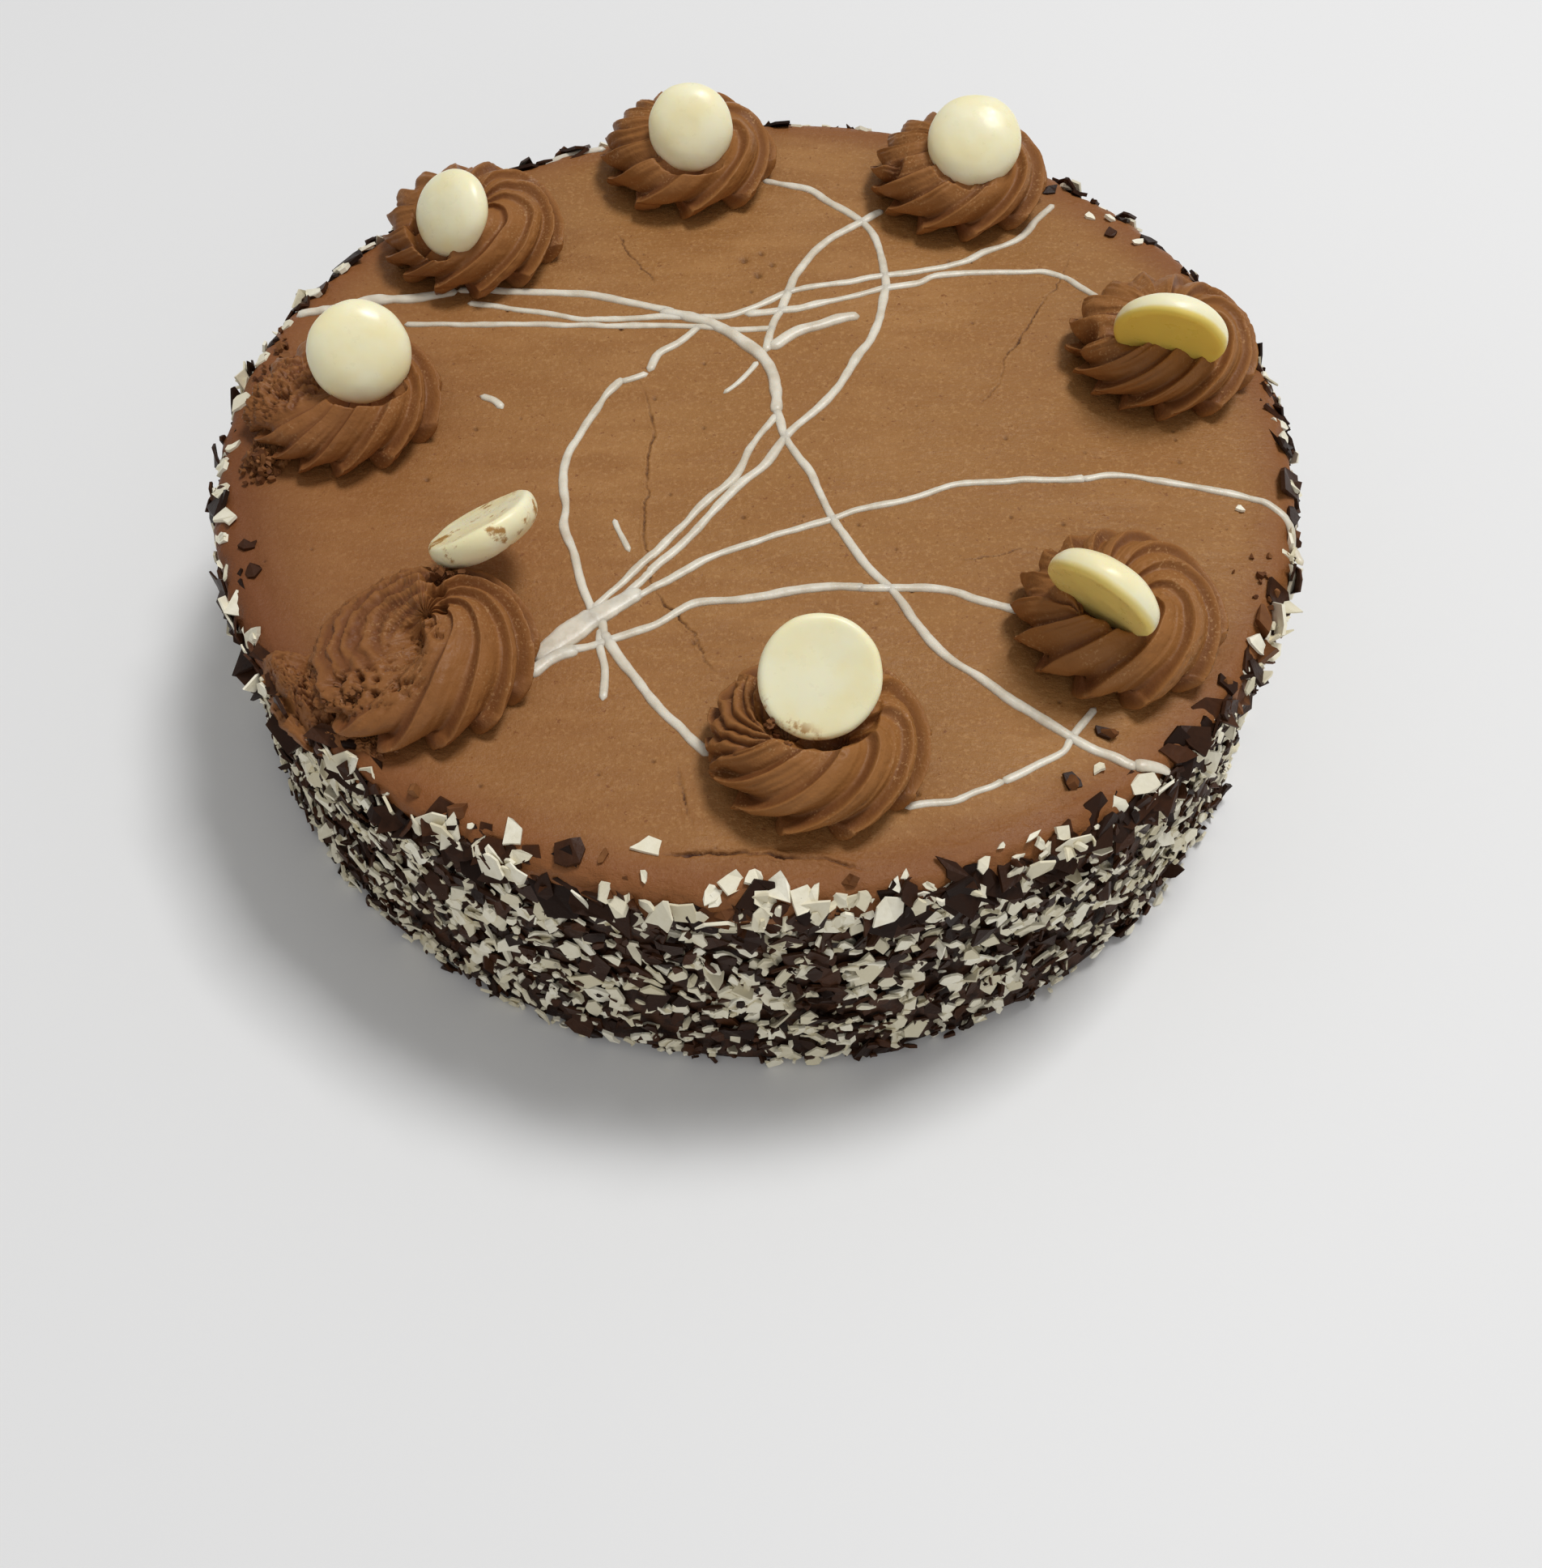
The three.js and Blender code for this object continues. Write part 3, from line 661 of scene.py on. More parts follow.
# Drizzle: name, width and points of each strand on the top
STRANDS = [
    ("thick_arc", 2.9, [(-22, 40), (-11, 36), (-2, 28), (2, 21), (3, 14), (3, 8)]),
    ("arc_start", 2.0, [(-67, 46), (-55, 46), (-40, 45), (-22, 40.5), (-19, 39.4)]),
    ("arc_end", 2.0, [(3, 9), (4, 4), (5, 1), (10, -10), (14, -22), (20, -34), (25, -41), (29, -49),
                      (34, -56), (45, -67), (56, -76), (61, -79), (67, -82)]),
    ("left_lower", 1.6, [(-77, 35), (-66, 35), (-53, 35), (-40, 35), (-29, 35), (-15, 35), (-6, 34),
                         (3, 34)]),
    ("left_upper", 1.7, [(-64, 42), (-58, 41), (-49, 39), (-40, 37), (-31, 37), (-22, 38), (-9, 38),
                         (-2, 41), (6, 46), (20, 50), (35, 53), (44, 56), (50, 60), (58, 65),
                         (63, 72), (67, 77)]),
    ("right_lower", 1.8, [(-4, 39), (4, 40), (19, 44), (26, 47), (34, 49), (39, 52), (51, 53),
                          (58, 53), (63, 53), (67, 51), (70, 48), (74, 44)]),
    ("crooked_a", 1.8, [(-13, 35), (-17, 30), (-22, 26), (-24, 20.5)]),
    ("crooked_b", 1.7, [(-24.2, 20.0), (-27, 18.5), (-30, 17.4)]),
    ("crooked_c", 1.8, [(-28.8, 17.9), (-30.2, 17.0), (-33, 12), (-36, 5), (-39, -4), (-40, -11),
                        (-39, -19), (-39, -24), (-37, -30), (-35, -38), (-33, -44), (-32, -48)]),
    ("short_a", 1.7, [(-59, 13), (-56, 11.4), (-54, 9)]),
    ("short_b", 1.3, [(-29, -22), (-28, -26), (-26, -31)]),
    ("short_c", 1.2, [(-1, 24), (-4, 19), (-8, 14)]),
    ("loop", 1.9, [(0, 85), (10, 82), (15, 78), (20, 74), (24, 69), (26, 62), (27, 54), (27, 48),
                   (24, 33), (20, 25), (16, 16), (11, 9), (5, 1), (1, -6), (-4, -12), (-9, -19),
                   (-14, -27), (-20, -34), (-24, -39.5), (-29, -45)]),
    ("loop_inner", 1.9, [(28, 75), (23, 71), (14, 63), (9, 55), (6, 47), (4, 40), (2, 33), (1, 27)]),
    ("blob", 2.8, [(21, 38), (16, 37), (12, 35), (7, 33), (2, 28)]),
    ("fork_left", 1.7, [(3, 8), (1, 4), (-2, -2), (-6, -11), (-12, -19), (-20, -30), (-25, -36),
                        (-30, -43), (-34, -49)]),
    ("upper_right", 1.7, [(-27, -45), (-22, -41), (-18, -38), (-14, -35), (-10, -32), (-3, -29),
                          (3, -26), (8, -24), (14, -22), (20, -19), (28, -17), (38, -13),
                          (45, -12), (53, -11), (58, -11), (65.6, -10.6)]),
    ("upper_right_end", 1.7, [(64.2, -10.6), (70, -10), (78, -11), (87, -13), (97, -16), (104, -21),
                              (107, -29)]),
    ("low_right_a", 1.9, [(-38, -56.5), (-35, -55), (-31, -54), (-24, -51), (-20, -49),
                          (-16, -46), (-12, -44), (-5, -43), (1, -42), (13, -40), (20, -40)]),
    ("low_right_b", 1.9, [(18, -40), (27, -40), (32, -40), (37, -41), (41, -43), (49, -46)]),
    ("tail", 1.5, [(-30, -50), (-30, -55), (-29, -60), (-29, -67)]),
    ("to_front", 2.0, [(-29.5, -51), (-28, -54), (-24, -61), (-19, -69), (-14, -74), (-9, -80)]),
    ("root", 5.0, [(-42, -58), (-39, -54.5), (-35.5, -50.5), (-31, -46.5)]),
    ("root_lower", 3.2, [(-43, -61.5), (-40.5, -58.5), (-37.5, -56.3), (-34, -55)]),
    ("root_end", 4.6, [(-34, -49.5), (-30, -46), (-26, -43), (-23, -40.5)]),
    ("root_bar", 1.8, [(-30.6, -47), (-29.8, -50), (-29.5, -53)]),
    ("arc_tip", 2.4, [(66, -81.6), (70, -81.6), (75, -81)]),
    ("front_arc_a", 1.5, [(61, -69), (59, -72), (56, -76), (54, -79), (49, -82), (42.5, -85.8)]),
    ("front_arc_b", 1.5, [(43.2, -85.2), (41, -86.8), (38, -88), (34, -90), (29, -90), (25, -91)]),
    ("far_left", 2.6, [(-101, 38), (-95, 40), (-88, 42), (-81, 43), (-74, 44), (-67, 46)]),
    ("back_rim", 2.0, [(-62, 93), (-53, 95), (-46, 96), (-37, 97)]),
]


def strand_rings(width, line, number):
    """Rings of a low rounded ridge that follows a line over the cream."""
    path = spline(line, 0.8)
    spots = flat_points(path[:, 0], path[:, 1])
    path = path + 0.35 * np.stack([noise(spots, 9, 31 + number), noise(spots, 9, 61 + number)], -1)
    along = np.gradient(path, axis=0)
    along /= np.linalg.norm(along, axis=1, keepdims=True)
    across = np.stack([along[:, 1], -along[:, 0]], axis=-1)
    place = lengths_along(path)
    to_end = np.minimum(place, place[-1] - place) / (0.55 * width)
    blunt = np.sqrt(1 - (1 - np.clip(to_end, 0.02, 1)) ** 2)
    uneven = 1 + 0.16 * noise(spots, 6, 90 + number) + 0.08 * noise(spots, 2, 91 + number)
    half = 0.5 * width * blunt * uneven
    rise = np.minimum(0.36 * width, 1.0) * blunt * (0.5 + 0.5 * uneven)
    turn = np.linspace(0, 2 * math.pi, 12, endpoint=False)
    side = np.sign(np.cos(turn)) * np.abs(np.cos(turn)) ** 0.8
    up = np.where(np.sin(turn) > 0, np.sin(turn), 0.35 * np.sin(turn))
    flat = path[:, None, :] + (half[:, None] * side)[..., None] * across[:, None, :]
    base = surface(path[:, 0], path[:, 1])
    height = base[:, None] - 0.05 + rise[:, None] * up
    return np.concatenate([flat, height[..., None]], axis=-1)


def make_drizzle():
    """All strands as one mesh."""
    all_points, all_faces, count = [], [], 0
    for number, (_, width, line) in enumerate(STRANDS):
        points, faces = closed_stack(strand_rings(width, line, number))
        all_points.append(points)
        all_faces += [f + count for f in faces]
        count += len(points)
    drizzle = mesh_object("drizzle", np.concatenate(all_points), all_faces, DRIZZLE)
    return piece(drizzle, "button")


# Rosettes

# What the words of a rosette mean:
# place: its centre on the cake. phase: turn of the star, in degrees.
# widest: the side where the ridges lie furthest apart, in degrees. widening: by what share.
# swirl: how the ridges run, see swirl_rings.
# hollows: place, radius and depth of dips in the top. curl: place and size of a small whorl.
# folds: where finer folds start, the azimuth of their middle and half their spread, first and last
# distance, count round a radian, pitch and depth. ragged: how torn they are.
# pores: place, half lengths and depth of a crumbly patch.
# crush, spread, crush_angle: how far one side is pressed down and out, and which side.
# press: how fully the cream is pushed down round the button. lip: how high it stays there.
# notch: azimuth and height of a ridge left standing at the button.
# button: centre of the button, from the rosette's foot. size: a multiple of the usual button.
# face: azimuth and elevation of its dome. flat: how yellow its flat side is painted, as shade and
# light reflected from the cream.
# smudge: the side where cream is smeared on the button, and how much.
BACK_SWIRL = dict(shift=(2.6, 7.6), late=1.3, turn=(145, -85), shrink=0.78, eye=(-1, -1))
LEFT_SWIRL = dict(shift=(2.6, 7.0), late=1.3, turn=(100, -40), shrink=0.78, eye=(-1, -1))
ROSETTES = [
    dict(place=(10, -80), phase=23, widest=-20, widening=0.35,
         swirl=dict(shift=(2.6, 9.4), late=1.54, turn=(155, -109), shrink=0.72, eye=(1.0, -2.5)),
         hollows=[(2.2, -3.4, 2.6, 4.0)], curl=(-5.2, -4.5, 2.2), press=0.7,
         folds=[(-5.2, -4.7, 135, 66, 2.2, 17, 14, 0.9, 1.8)],
         button=(0, 5.2, 16.3), size=1.05, face=(88, -50), smudge=(-0.5, 0.85, 1.0)),
    dict(place=(66.5, -51), phase=10, widest=-20, widening=0.25,
         swirl=dict(shift=(2.6, 6.7), late=1.17, turn=(69, 35), shrink=0.82, eye=(-3, -3)),
         hollows=[(-5.5, -3.8, 3.2, 4.5), (-1.0, -7.0, 2.8, 4.5)],
         folds=[(-9.0, -6.5, 95, 60, 1.5, 9, 6, -0.2, 1.5)],
         button=(-4.8, -5.2, 18.8), size=1.05, face=(52, 23), flat=0.8),
    dict(place=(-60.7, -60), phase=4.5, widest=90, widening=0.05,
         swirl=dict(shift=(0.4, 8.0), late=1.25, turn=(73, 6), shrink=0.96, eye=(0, 3)),
         hollows=[(0.5, 12.5, 2.2, 5.0), (1.7, 7.8, 1.6, 4.5), (3.0, 4.2, 1.0, 2.5),
                  (0.2, 3.0, 0.8, 1.5)],
         crush=0.45, spread=0.12, crush_angle=-168, press=0.8,
         folds=[(-3.7, -0.6, 145, 85, 4, 20, 2.5, 1.0, 1.2)], ragged=0.5,
         pores=[(-2.0, -2.5, 5.5, 4.5, 3.2), (-11, -10, 12, 4.6, 4.2)],
         button=(9.3, 23.1, 11.3), size=1.07, face=(-44, -51), smudge=(0, 0, 1.0)),
    dict(place=(84, 23.5), phase=7.5, widest=15, widening=0.31, swirl=BACK_SWIRL,
         hollows=[(-17.3, -2.3, 2.2, 2.5), (-8, -4, 4, 2.0)],
         button=(-1.2, -8, 16.8), size=1.1, face=(74, 21), flat=1.0),
    dict(place=(-85, 7), phase=14, widest=28, widening=0.34, swirl=LEFT_SWIRL,
         crush=0.3, crush_angle=-170, press=1.0, lip=1.4,
         folds=[(-6, -8, 125, 60, 4, 18, 2, 1.3, 1.0)], ragged=1.0,
         pores=[(-15, -2, 6, 6, 2.8)],
         button=(4.8, 0.5, 16.5), size=0.98, face=(-74, 42)),
    dict(place=(-64, 61), phase=18, widest=13, widening=0.31, swirl=BACK_SWIRL,
         press=1.0, notch=(-80, 1.5), lip=1.4,
         button=(-3.3, -8, 15.5), size=0.88, face=(-135, 42)),
    dict(place=(-17, 88.5), phase=9.5, widest=-45, widening=0.42, swirl=BACK_SWIRL,
         press=1.0, lip=1.6,
         button=(1, -6.5, 16.5), size=0.91, face=(-88, 40)),
    dict(place=(45, 81), phase=14, widest=-27, widening=0.34, swirl=BACK_SWIRL,
         hollows=[(-15.8, -4.4, 2.0, 2.5)], press=1.0, lip=1.8,
         button=(2, -3.5, 17), size=1.0, face=(-100, 58)),
]

# Half a section through a rosette, from its foot up to its middle: reach and height
MERIDIAN = [
    (17.4, -0.6), (18.9, 0.9), (20.1, 2.8), (20.3, 4.6), (19.5, 6.9), (18.2, 9.0), (16.4, 10.8),
    (14.2, 12.1), (12.0, 13.0), (10.0, 13.5), (8.0, 13.7), (6.0, 13.4), (4.2, 12.7), (2.6, 12.0),
    (1.3, 11.5), (0.0, 11.3),
]
# Depth of the grooves at distances from the middle, along the section
GROOVE_DEPTH = [(0, 0.3), (4, 0.9), (9, 1.5), (13, 2.0), (18, 2.5), (22, 3.2), (26, 4.3), (31, 4.6)]
# Up to this height a rosette flares out from its foot, turning by this angle as it rises
FOOT_HEIGHT = 4.6
FOOT_TURN = math.radians(10)
SWIRL_RINGS = 92
# The left of each rosette is finely wrinkled, to this depth
WRINKLE_SIDE = math.radians(200)
WRINKLE_DEPTH = 0.2
# The crests are paler on the side that the light comes from
PALE_SIDE = math.radians(20)


def interpolated(table, value):
    """The value of a table of pairs, along straight lines between them."""
    xs, ys = zip(*table)
    return np.interp(value, xs, ys)


def swirl_rings(swirl, rim, count):
    """The centre, radius and turn of each of the circles that the ridges cross on their way in.

    They lie on the unrolled top, whose edge is the circle of radius rim.
    """
    s = np.linspace(0, 0.985, count) ** 0.92
    bulge = 4 * s ** swirl["late"] * (1 - s)
    centre = np.outer(bulge, swirl["shift"]) + np.outer(s**1.5, swirl["eye"])
    first, second = swirl["turn"]
    return centre, rim * (1 - s) ** swirl["shrink"], np.radians(first * s + second * s * s)


# Across a ridge, from its sharp crest round to the next one: share of the way, depth and tone of
# painted shade, darkest in the groove
RIDGE_SECTION = [
    (0.0, 0.0, 1.0), (0.05, 0.05, 1.0), (0.2, 0.2, 0.95), (0.4, 0.5, 0.9), (0.6, 0.85, 0.8),
    (0.74, 1.0, 0.55), (0.84, 0.9, 0.2), (0.93, 0.5, 0.15), (0.98, 0.14, 0.6), (1.0, 0.0, 1.0),
]


def ridge_profile(share):
    """Depth below the crest and tone of painted shade, 0 to 1, at a share of -0.5 to 0.5 from a
    ridge's crest.
    """
    places, depths, tones = zip(*RIDGE_SECTION)
    along = np.mod(share, 1.0)
    return np.interp(along, places, depths), np.interp(along, places, tones)


def folds(x, y, spec, number):
    """Where finer folds take the place of the ridges, how deep they are, and their relief."""
    mask, depth, relief = np.zeros_like(x), np.zeros_like(x), np.ones_like(x)
    spots = flat_points(x.ravel(), y.ravel())
    warp = noise(spots, 5, 350 + number, 3, 0.6).reshape(x.shape)
    for cx, cy, side, half, inner, outer, count, pitch, deep in spec.get("folds", []):
        far = np.hypot(x - cx, y - cy)
        spin = np.arctan2(y - cy, x - cx)
        away = np.abs((np.degrees(spin) - side + 180) % 360 - 180)
        inside = 1 - smoothstep(away, 0.75 * half, half)
        inside *= smoothstep(far, 0.4 * inner, inner) * (1 - smoothstep(far, 0.85 * outer, outer))
        softness = 2.2 if "ragged" in spec else 0.9
        wave = np.abs(np.sin(count * spin + pitch * far + 1.1 * warp)) ** softness
        relief = np.where(inside > mask, wave, relief)
        depth = np.where(inside > mask, deep, depth)
        mask = np.maximum(mask, inside)
    return mask, depth, relief


def pushed_down(spots, spec, grooves):
    """Moves points that would cover a button down below its edge, ridges and grooves and all."""
    azimuth, elevation = (math.radians(a) for a in spec["face"])
    if elevation < 0:
        azimuth, elevation = azimuth + math.pi, -elevation
    rise, lean = math.sin(elevation), math.cos(elevation)
    cx, cy, cz = spec["button"]
    dx, dy = spots[:, 0] - cx, spots[:, 1] - cy
    b = dx * math.cos(azimuth) + dy * math.sin(azimuth)
    a = dy * math.cos(azimuth) - dx * math.sin(azimuth)
    long = BUTTON_RADIUS * spec["size"] + 0.3
    short = long * rise + 1.0 * lean
    q = np.maximum(np.hypot(a / long, b / short), 1e-6)
    edge_b = b / np.maximum(q, 1)
    height = cz - edge_b * lean / max(rise, 0.45) - 2.4
    beyond = np.hypot(a, b) * (1 - 1 / np.maximum(q, 1))
    limit = height + spec.get("lip", 0.0) + 1.6 * beyond
    if "notch" in spec:
        angle, size = spec["notch"]
        turn = np.degrees(np.arctan2(dy, dx)) - angle
        limit += size * np.exp(-((turn / 14) ** 2))
    over = np.maximum(spots[:, 2] - limit, 0) * spec["press"]
    moved = spots.copy()
    moved[:, 2] -= over + 0.7 * grooves * smoothstep(over, 0, 1)
    return moved


def ridge_columns(spec, columns):
    """Ridge number with share, share alone, and azimuth of each column of points round a rosette."""
    even = (np.arange(columns) + 0.5) / columns - 0.5
    share = even - 0.07 * np.sin(2 * np.pi * even)
    step = (np.arange(ROSETTE_LOBES)[:, None] + share[None, :]).ravel()
    azimuth = math.radians(spec["phase"]) + 2 * math.pi * step / ROSETTE_LOBES
    azimuth = azimuth + spec["widening"] * np.sin(azimuth - math.radians(spec["widest"]))
    return step, np.tile(share, ROSETTE_LOBES), azimuth


def unrolled_places(spec, number, azimuth, foot_inward):
    """Where the points lie on the rosette's unrolled surface, ring by ring from the foot."""
    centre, radius, turn = swirl_rings(spec["swirl"], foot_inward.min(), SWIRL_RINGS)
    foot_inward = foot_inward[::2]
    foot_turn = FOOT_TURN * np.linspace(0, 1, len(foot_inward), endpoint=False)
    centre = np.concatenate([np.zeros((len(foot_inward), 2)), centre])
    radius = np.concatenate([foot_inward, radius])
    turn = np.concatenate([foot_turn, turn + FOOT_TURN])
    sway = 0.05 * noise(flat_points(radius, np.full(len(radius), 7.0 * number)), 6, 200 + number)
    angle = azimuth[None, :] + turn[:, None] + sway[:, None]
    u = centre[:, :1] + radius[:, None] * np.cos(angle)
    v = centre[:, 1:] + radius[:, None] * np.sin(angle)
    return u, v


def wrinkles(step, inward, around, number):
    """Where the fine wrinkles on the left of a rosette lie, and their relief."""
    where = smoothstep(np.cos(around - WRINKLE_SIDE), -0.1, 0.8) * smoothstep(inward, 3, 8)
    where *= 1 - smoothstep(inward, 19, 24)
    rows = len(inward)
    fans = np.stack([np.tile(step * 4.5, rows), np.repeat(np.arange(rows) * 0.02, len(step)),
                     np.full(inward.size, 0.3)], -1)
    fans = np.abs(noise(fans, 1.0, 220 + number, 2, 0.6)).reshape(inward.shape)
    return where, 1.0 - 3.0 * fans


def marks(spec, number, spots, tone, torn):
    """Hollows, a whorl, torn parts and holes: how far the surface stands out, and its tone, with
    painted shade in the hollows and holes.
    """
    bumps = np.zeros(len(spots))
    for hx, hy, size, depth in spec.get("hollows", []):
        far = np.hypot(spots[:, 0] - hx, spots[:, 1] - hy)
        inside = np.exp(-((far / size) ** 4))
        bumps -= depth * inside
        # Painted shade in the hollow.
        tone = tone * (1 - 0.85 * inside)
    if "curl" in spec:
        cx, cy, size = spec["curl"]
        far = np.hypot(spots[:, 0] - cx, spots[:, 1] - cy)
        spin = np.arctan2(spots[:, 1] - cy, spots[:, 0] - cx)
        whorl = 1.2 + 0.7 * np.cos(2 * spin + 2.6 * far)
        bumps += whorl * np.exp(-((far / size) ** 2))
    if "ragged" in spec:
        bumps += spec["ragged"] * torn * noise(spots, 2.4, 340 + number, 4, 0.75)
    for px, py, long, wide, depth in spec.get("pores", []):
        square = ((spots[:, 0] - px) / long) ** 2 + ((spots[:, 1] - py) / wide) ** 2
        inside = np.exp(-square**2)
        holes = np.maximum(noise(spots, 1.8, 360 + number, 4, 0.8) + 0.05, 0)
        bumps += inside * (0.5 - depth * holes)
        # Painted shade in the holes.
        tone = tone * (1 - inside) + inside * np.clip(0.75 - 1.2 * holes, 0, 1)
    return bumps, tone


def rosette_points(spec, number):
    """Rings of a rosette from its foot to its middle, and how near each point is to a ridge's crest,
    as a tone of painted shade: darkest in grooves, folds, hollows and holes, paler towards the light.

    Every kind of noise has a seed of its own for each rosette: a base plus the rosette's number.
    """
    rows = spline(MERIDIAN, 0.3)
    inward = lengths_along(rows)
    inward = inward[-1] - inward
    slope = np.gradient(rows, axis=0)
    slope /= np.linalg.norm(slope, axis=1, keepdims=True)
    foot = rows[:, 1] < FOOT_HEIGHT
    foot[np.argmax(~foot):] = False

    # Places on the unrolled surface, and the section above each of them
    columns = 28 if number <= 3 else 22
    step, share, azimuth = ridge_columns(spec, columns)
    u, v = unrolled_places(spec, number, azimuth, inward[foot])
    m = np.hypot(u, v)
    around = np.arctan2(v, u)
    order = slice(None, None, -1)
    reach, height, normal_out, normal_up = (
        np.interp(m, inward[order], side[order])
        for side in (rows[:, 0], rows[:, 1], slope[:, 1], -slope[:, 0]))

    # Ridges, each of its own strength, with folds and wrinkles in their place
    random = np.random.default_rng(100 + number)
    strength = np.repeat(random.uniform(0.8, 1.15, ROSETTE_LOBES), columns)
    wander = 0.05 * noise(flat_points(u.ravel(), v.ravel()), 7, 210 + number)
    # The tone is painted shade, darkest in the grooves.
    dips, tone = (side[None, :] * np.ones_like(m) for side in ridge_profile(share))
    dips = np.clip(dips + wander.reshape(m.shape), 0, 1.1)
    grooves = dips * interpolated(GROOVE_DEPTH, m)
    mask, fold_depth, relief = folds(reach * np.cos(around), reach * np.sin(around), spec, number)
    sunk = grooves * strength[None, :]
    sunk += mask * (fold_depth * (1 - relief) - sunk)
    # Painted shade in the creases of the folds.
    tone += mask * (relief - tone)
    wrinkled, wrinkle_relief = wrinkles(step, m, around, number)
    sunk = sunk * (1 - 0.25 * wrinkled)
    sunk += WRINKLE_DEPTH * wrinkled * (1 - mask) * wrinkle_relief
    out = reach - sunk * normal_out
    up = height - sunk * normal_up

    # One side pressed down and out
    crush_angle = math.radians(spec.get("crush_angle", 0))
    pressed = smoothstep(np.cos(around - crush_angle), -0.3, 0.9)
    out = out * (1 + spec.get("spread", 0.0) * pressed)
    up = up * (1 - spec.get("crush", 0.0) * pressed)
    rings = np.stack([out * np.cos(around), out * np.sin(around), up], axis=-1)

    # Lumps, tears and fine lines
    spots = rings.reshape(-1, 3)
    pale = 0.24 * np.cos(around - PALE_SIDE) * smoothstep(m, 3, 12)
    tone = np.clip(tone + pale, 0, 1).ravel()
    bumps = 0.28 * noise(spots, 8, 300 + number) + 0.10 * noise(spots, 2.2, 310 + number, 3)
    tears = np.maximum(noise(spots, 1.4, 320 + number, 3) - 0.25, 0) * smoothstep(tone, 0.8, 1.0)
    lobes = np.arange(ROSETTE_LOBES).repeat(columns)
    lines = flat_points(np.tile(share * 9 + lobes * 31, len(m)),
                        np.repeat(np.arange(len(m)) * 0.03, len(step)))
    bumps += 0.06 * noise(lines, 1.0, 330 + number, 2) - 0.4 * tears
    more, tone = marks(spec, number, spots, tone, mask.ravel())
    outward = np.stack([np.cos(around) * normal_out, np.sin(around) * normal_out, normal_up], -1)
    spots = spots + (bumps + more)[:, None] * outward.reshape(-1, 3)
    if "press" in spec:
        spots = pushed_down(spots, spec, grooves.ravel())
    return spots.reshape(rings.shape), tone


def make_rosette(spec, number):
    """One piped rosette, closed under its foot, at its place on the cake."""
    rings, tone = rosette_points(spec, number)
    points, faces = closed_stack(rings + np.array([*spec["place"], CAKE_HEIGHT]))
    # The tone of painted shade, with the two end points.
    painted_shade_tone = np.concatenate([tone, [0.0, 0.5]])
    name = f"piped_rosette_{number}"
    made = mesh_object(name, points, faces, ROSETTE, {"painted_shade_tone": painted_shade_tone})
    return piece(made, "rosette", f"rosette_{number}")


# Torn cream that reaches from a rosette to the rim: centre, half lengths, turn in degrees, height
SMEARS = [
    (-80.5, -67.0, 15.5, 7.0, -36, 4.2),
    (-71.0, -75.5, 7.0, 4.0, -25, 2.4),
    (-98.5, -3.0, 6.0, 5.0, 60, 4.6),
]


def make_smear(number, x, y, long, wide, turn, rise):
    """Rough cream full of holes, highest in its middle, with a ragged edge."""
    share = np.linspace(1, 0.02, 40)[:, None]
    around = np.linspace(0, 2 * math.pi, 128, endpoint=False)
    circle = np.stack([2 * np.cos(around), 2 * np.sin(around), np.full_like(around, number)], -1)
    ragged = 1 + 0.22 * noise(circle, 0.9, 500 + number, 4, 0.6)[None, :]
    a = long * share * ragged * np.cos(around)
    b = wide * share * ragged * np.sin(around)
    lean = math.radians(turn)
    across = x + a * math.cos(lean) - b * math.sin(lean)
    along = y + a * math.sin(lean) + b * math.cos(lean)
    spots = flat_points(across, along).reshape(-1, 3)
    lumps = noise(spots, 5, 510 + number, 3).reshape(across.shape)
    torn = noise(spots, 1.9, 520 + number, 5, 0.8).reshape(across.shape)
    holes = np.maximum(torn - 0.05, 0)
    dome = (1 - share**2) ** 0.45
    height = rise * dome * (0.72 + 0.5 * lumps) + dome * (1.2 * torn - 5.0 * holes + 0.3) - 0.3
    height += surface(across.ravel(), along.ravel()).reshape(height.shape)
    points, faces = closed_stack(np.stack([across, along, height], -1))
    # Painted shade in the holes and painted light on the lumps.
    tone = np.clip(0.8 + 0.3 * lumps - 3.0 * holes, 0, 1).ravel()
    values = {"painted_shade_tone": np.concatenate([tone, [0.5, 0.5]])}
    return piece(mesh_object(f"torn_cream_{number}", points, faces, ROSETTE, values), "rosette")


# Buttons

def button_pose(spec):
    """The turn of a button from lying dome up, and its place, as in the solid model."""
    azimuth, elevation = (math.radians(a) for a in spec["face"])
    dome = Vector((math.cos(elevation) * math.cos(azimuth),
                   math.cos(elevation) * math.sin(azimuth), math.sin(elevation)))
    turn = Vector((0, 0, 1)).rotation_difference(dome).to_matrix()
    place = np.array(spec["button"]) + np.array([*spec["place"], CAKE_HEIGHT])
    return np.array(turn), place


BUTTON_COLUMNS = 84
# Half a section through a button, from the middle of its flat face to the top of its dome
BUTTON_SECTION = [
    (0.2, -3.0), (4.0, -3.05), (7.5, -3.2), (9.2, -3.3), (9.9, -3.1), (10.3, -2.5), (10.4, -1.6),
    (10.25, -0.6), (9.7, 0.5), (8.6, 1.5), (7.0, 2.4), (5.0, 3.0), (3.2, 3.3), (2.0, 3.4),
    (0.2, 3.42),
]


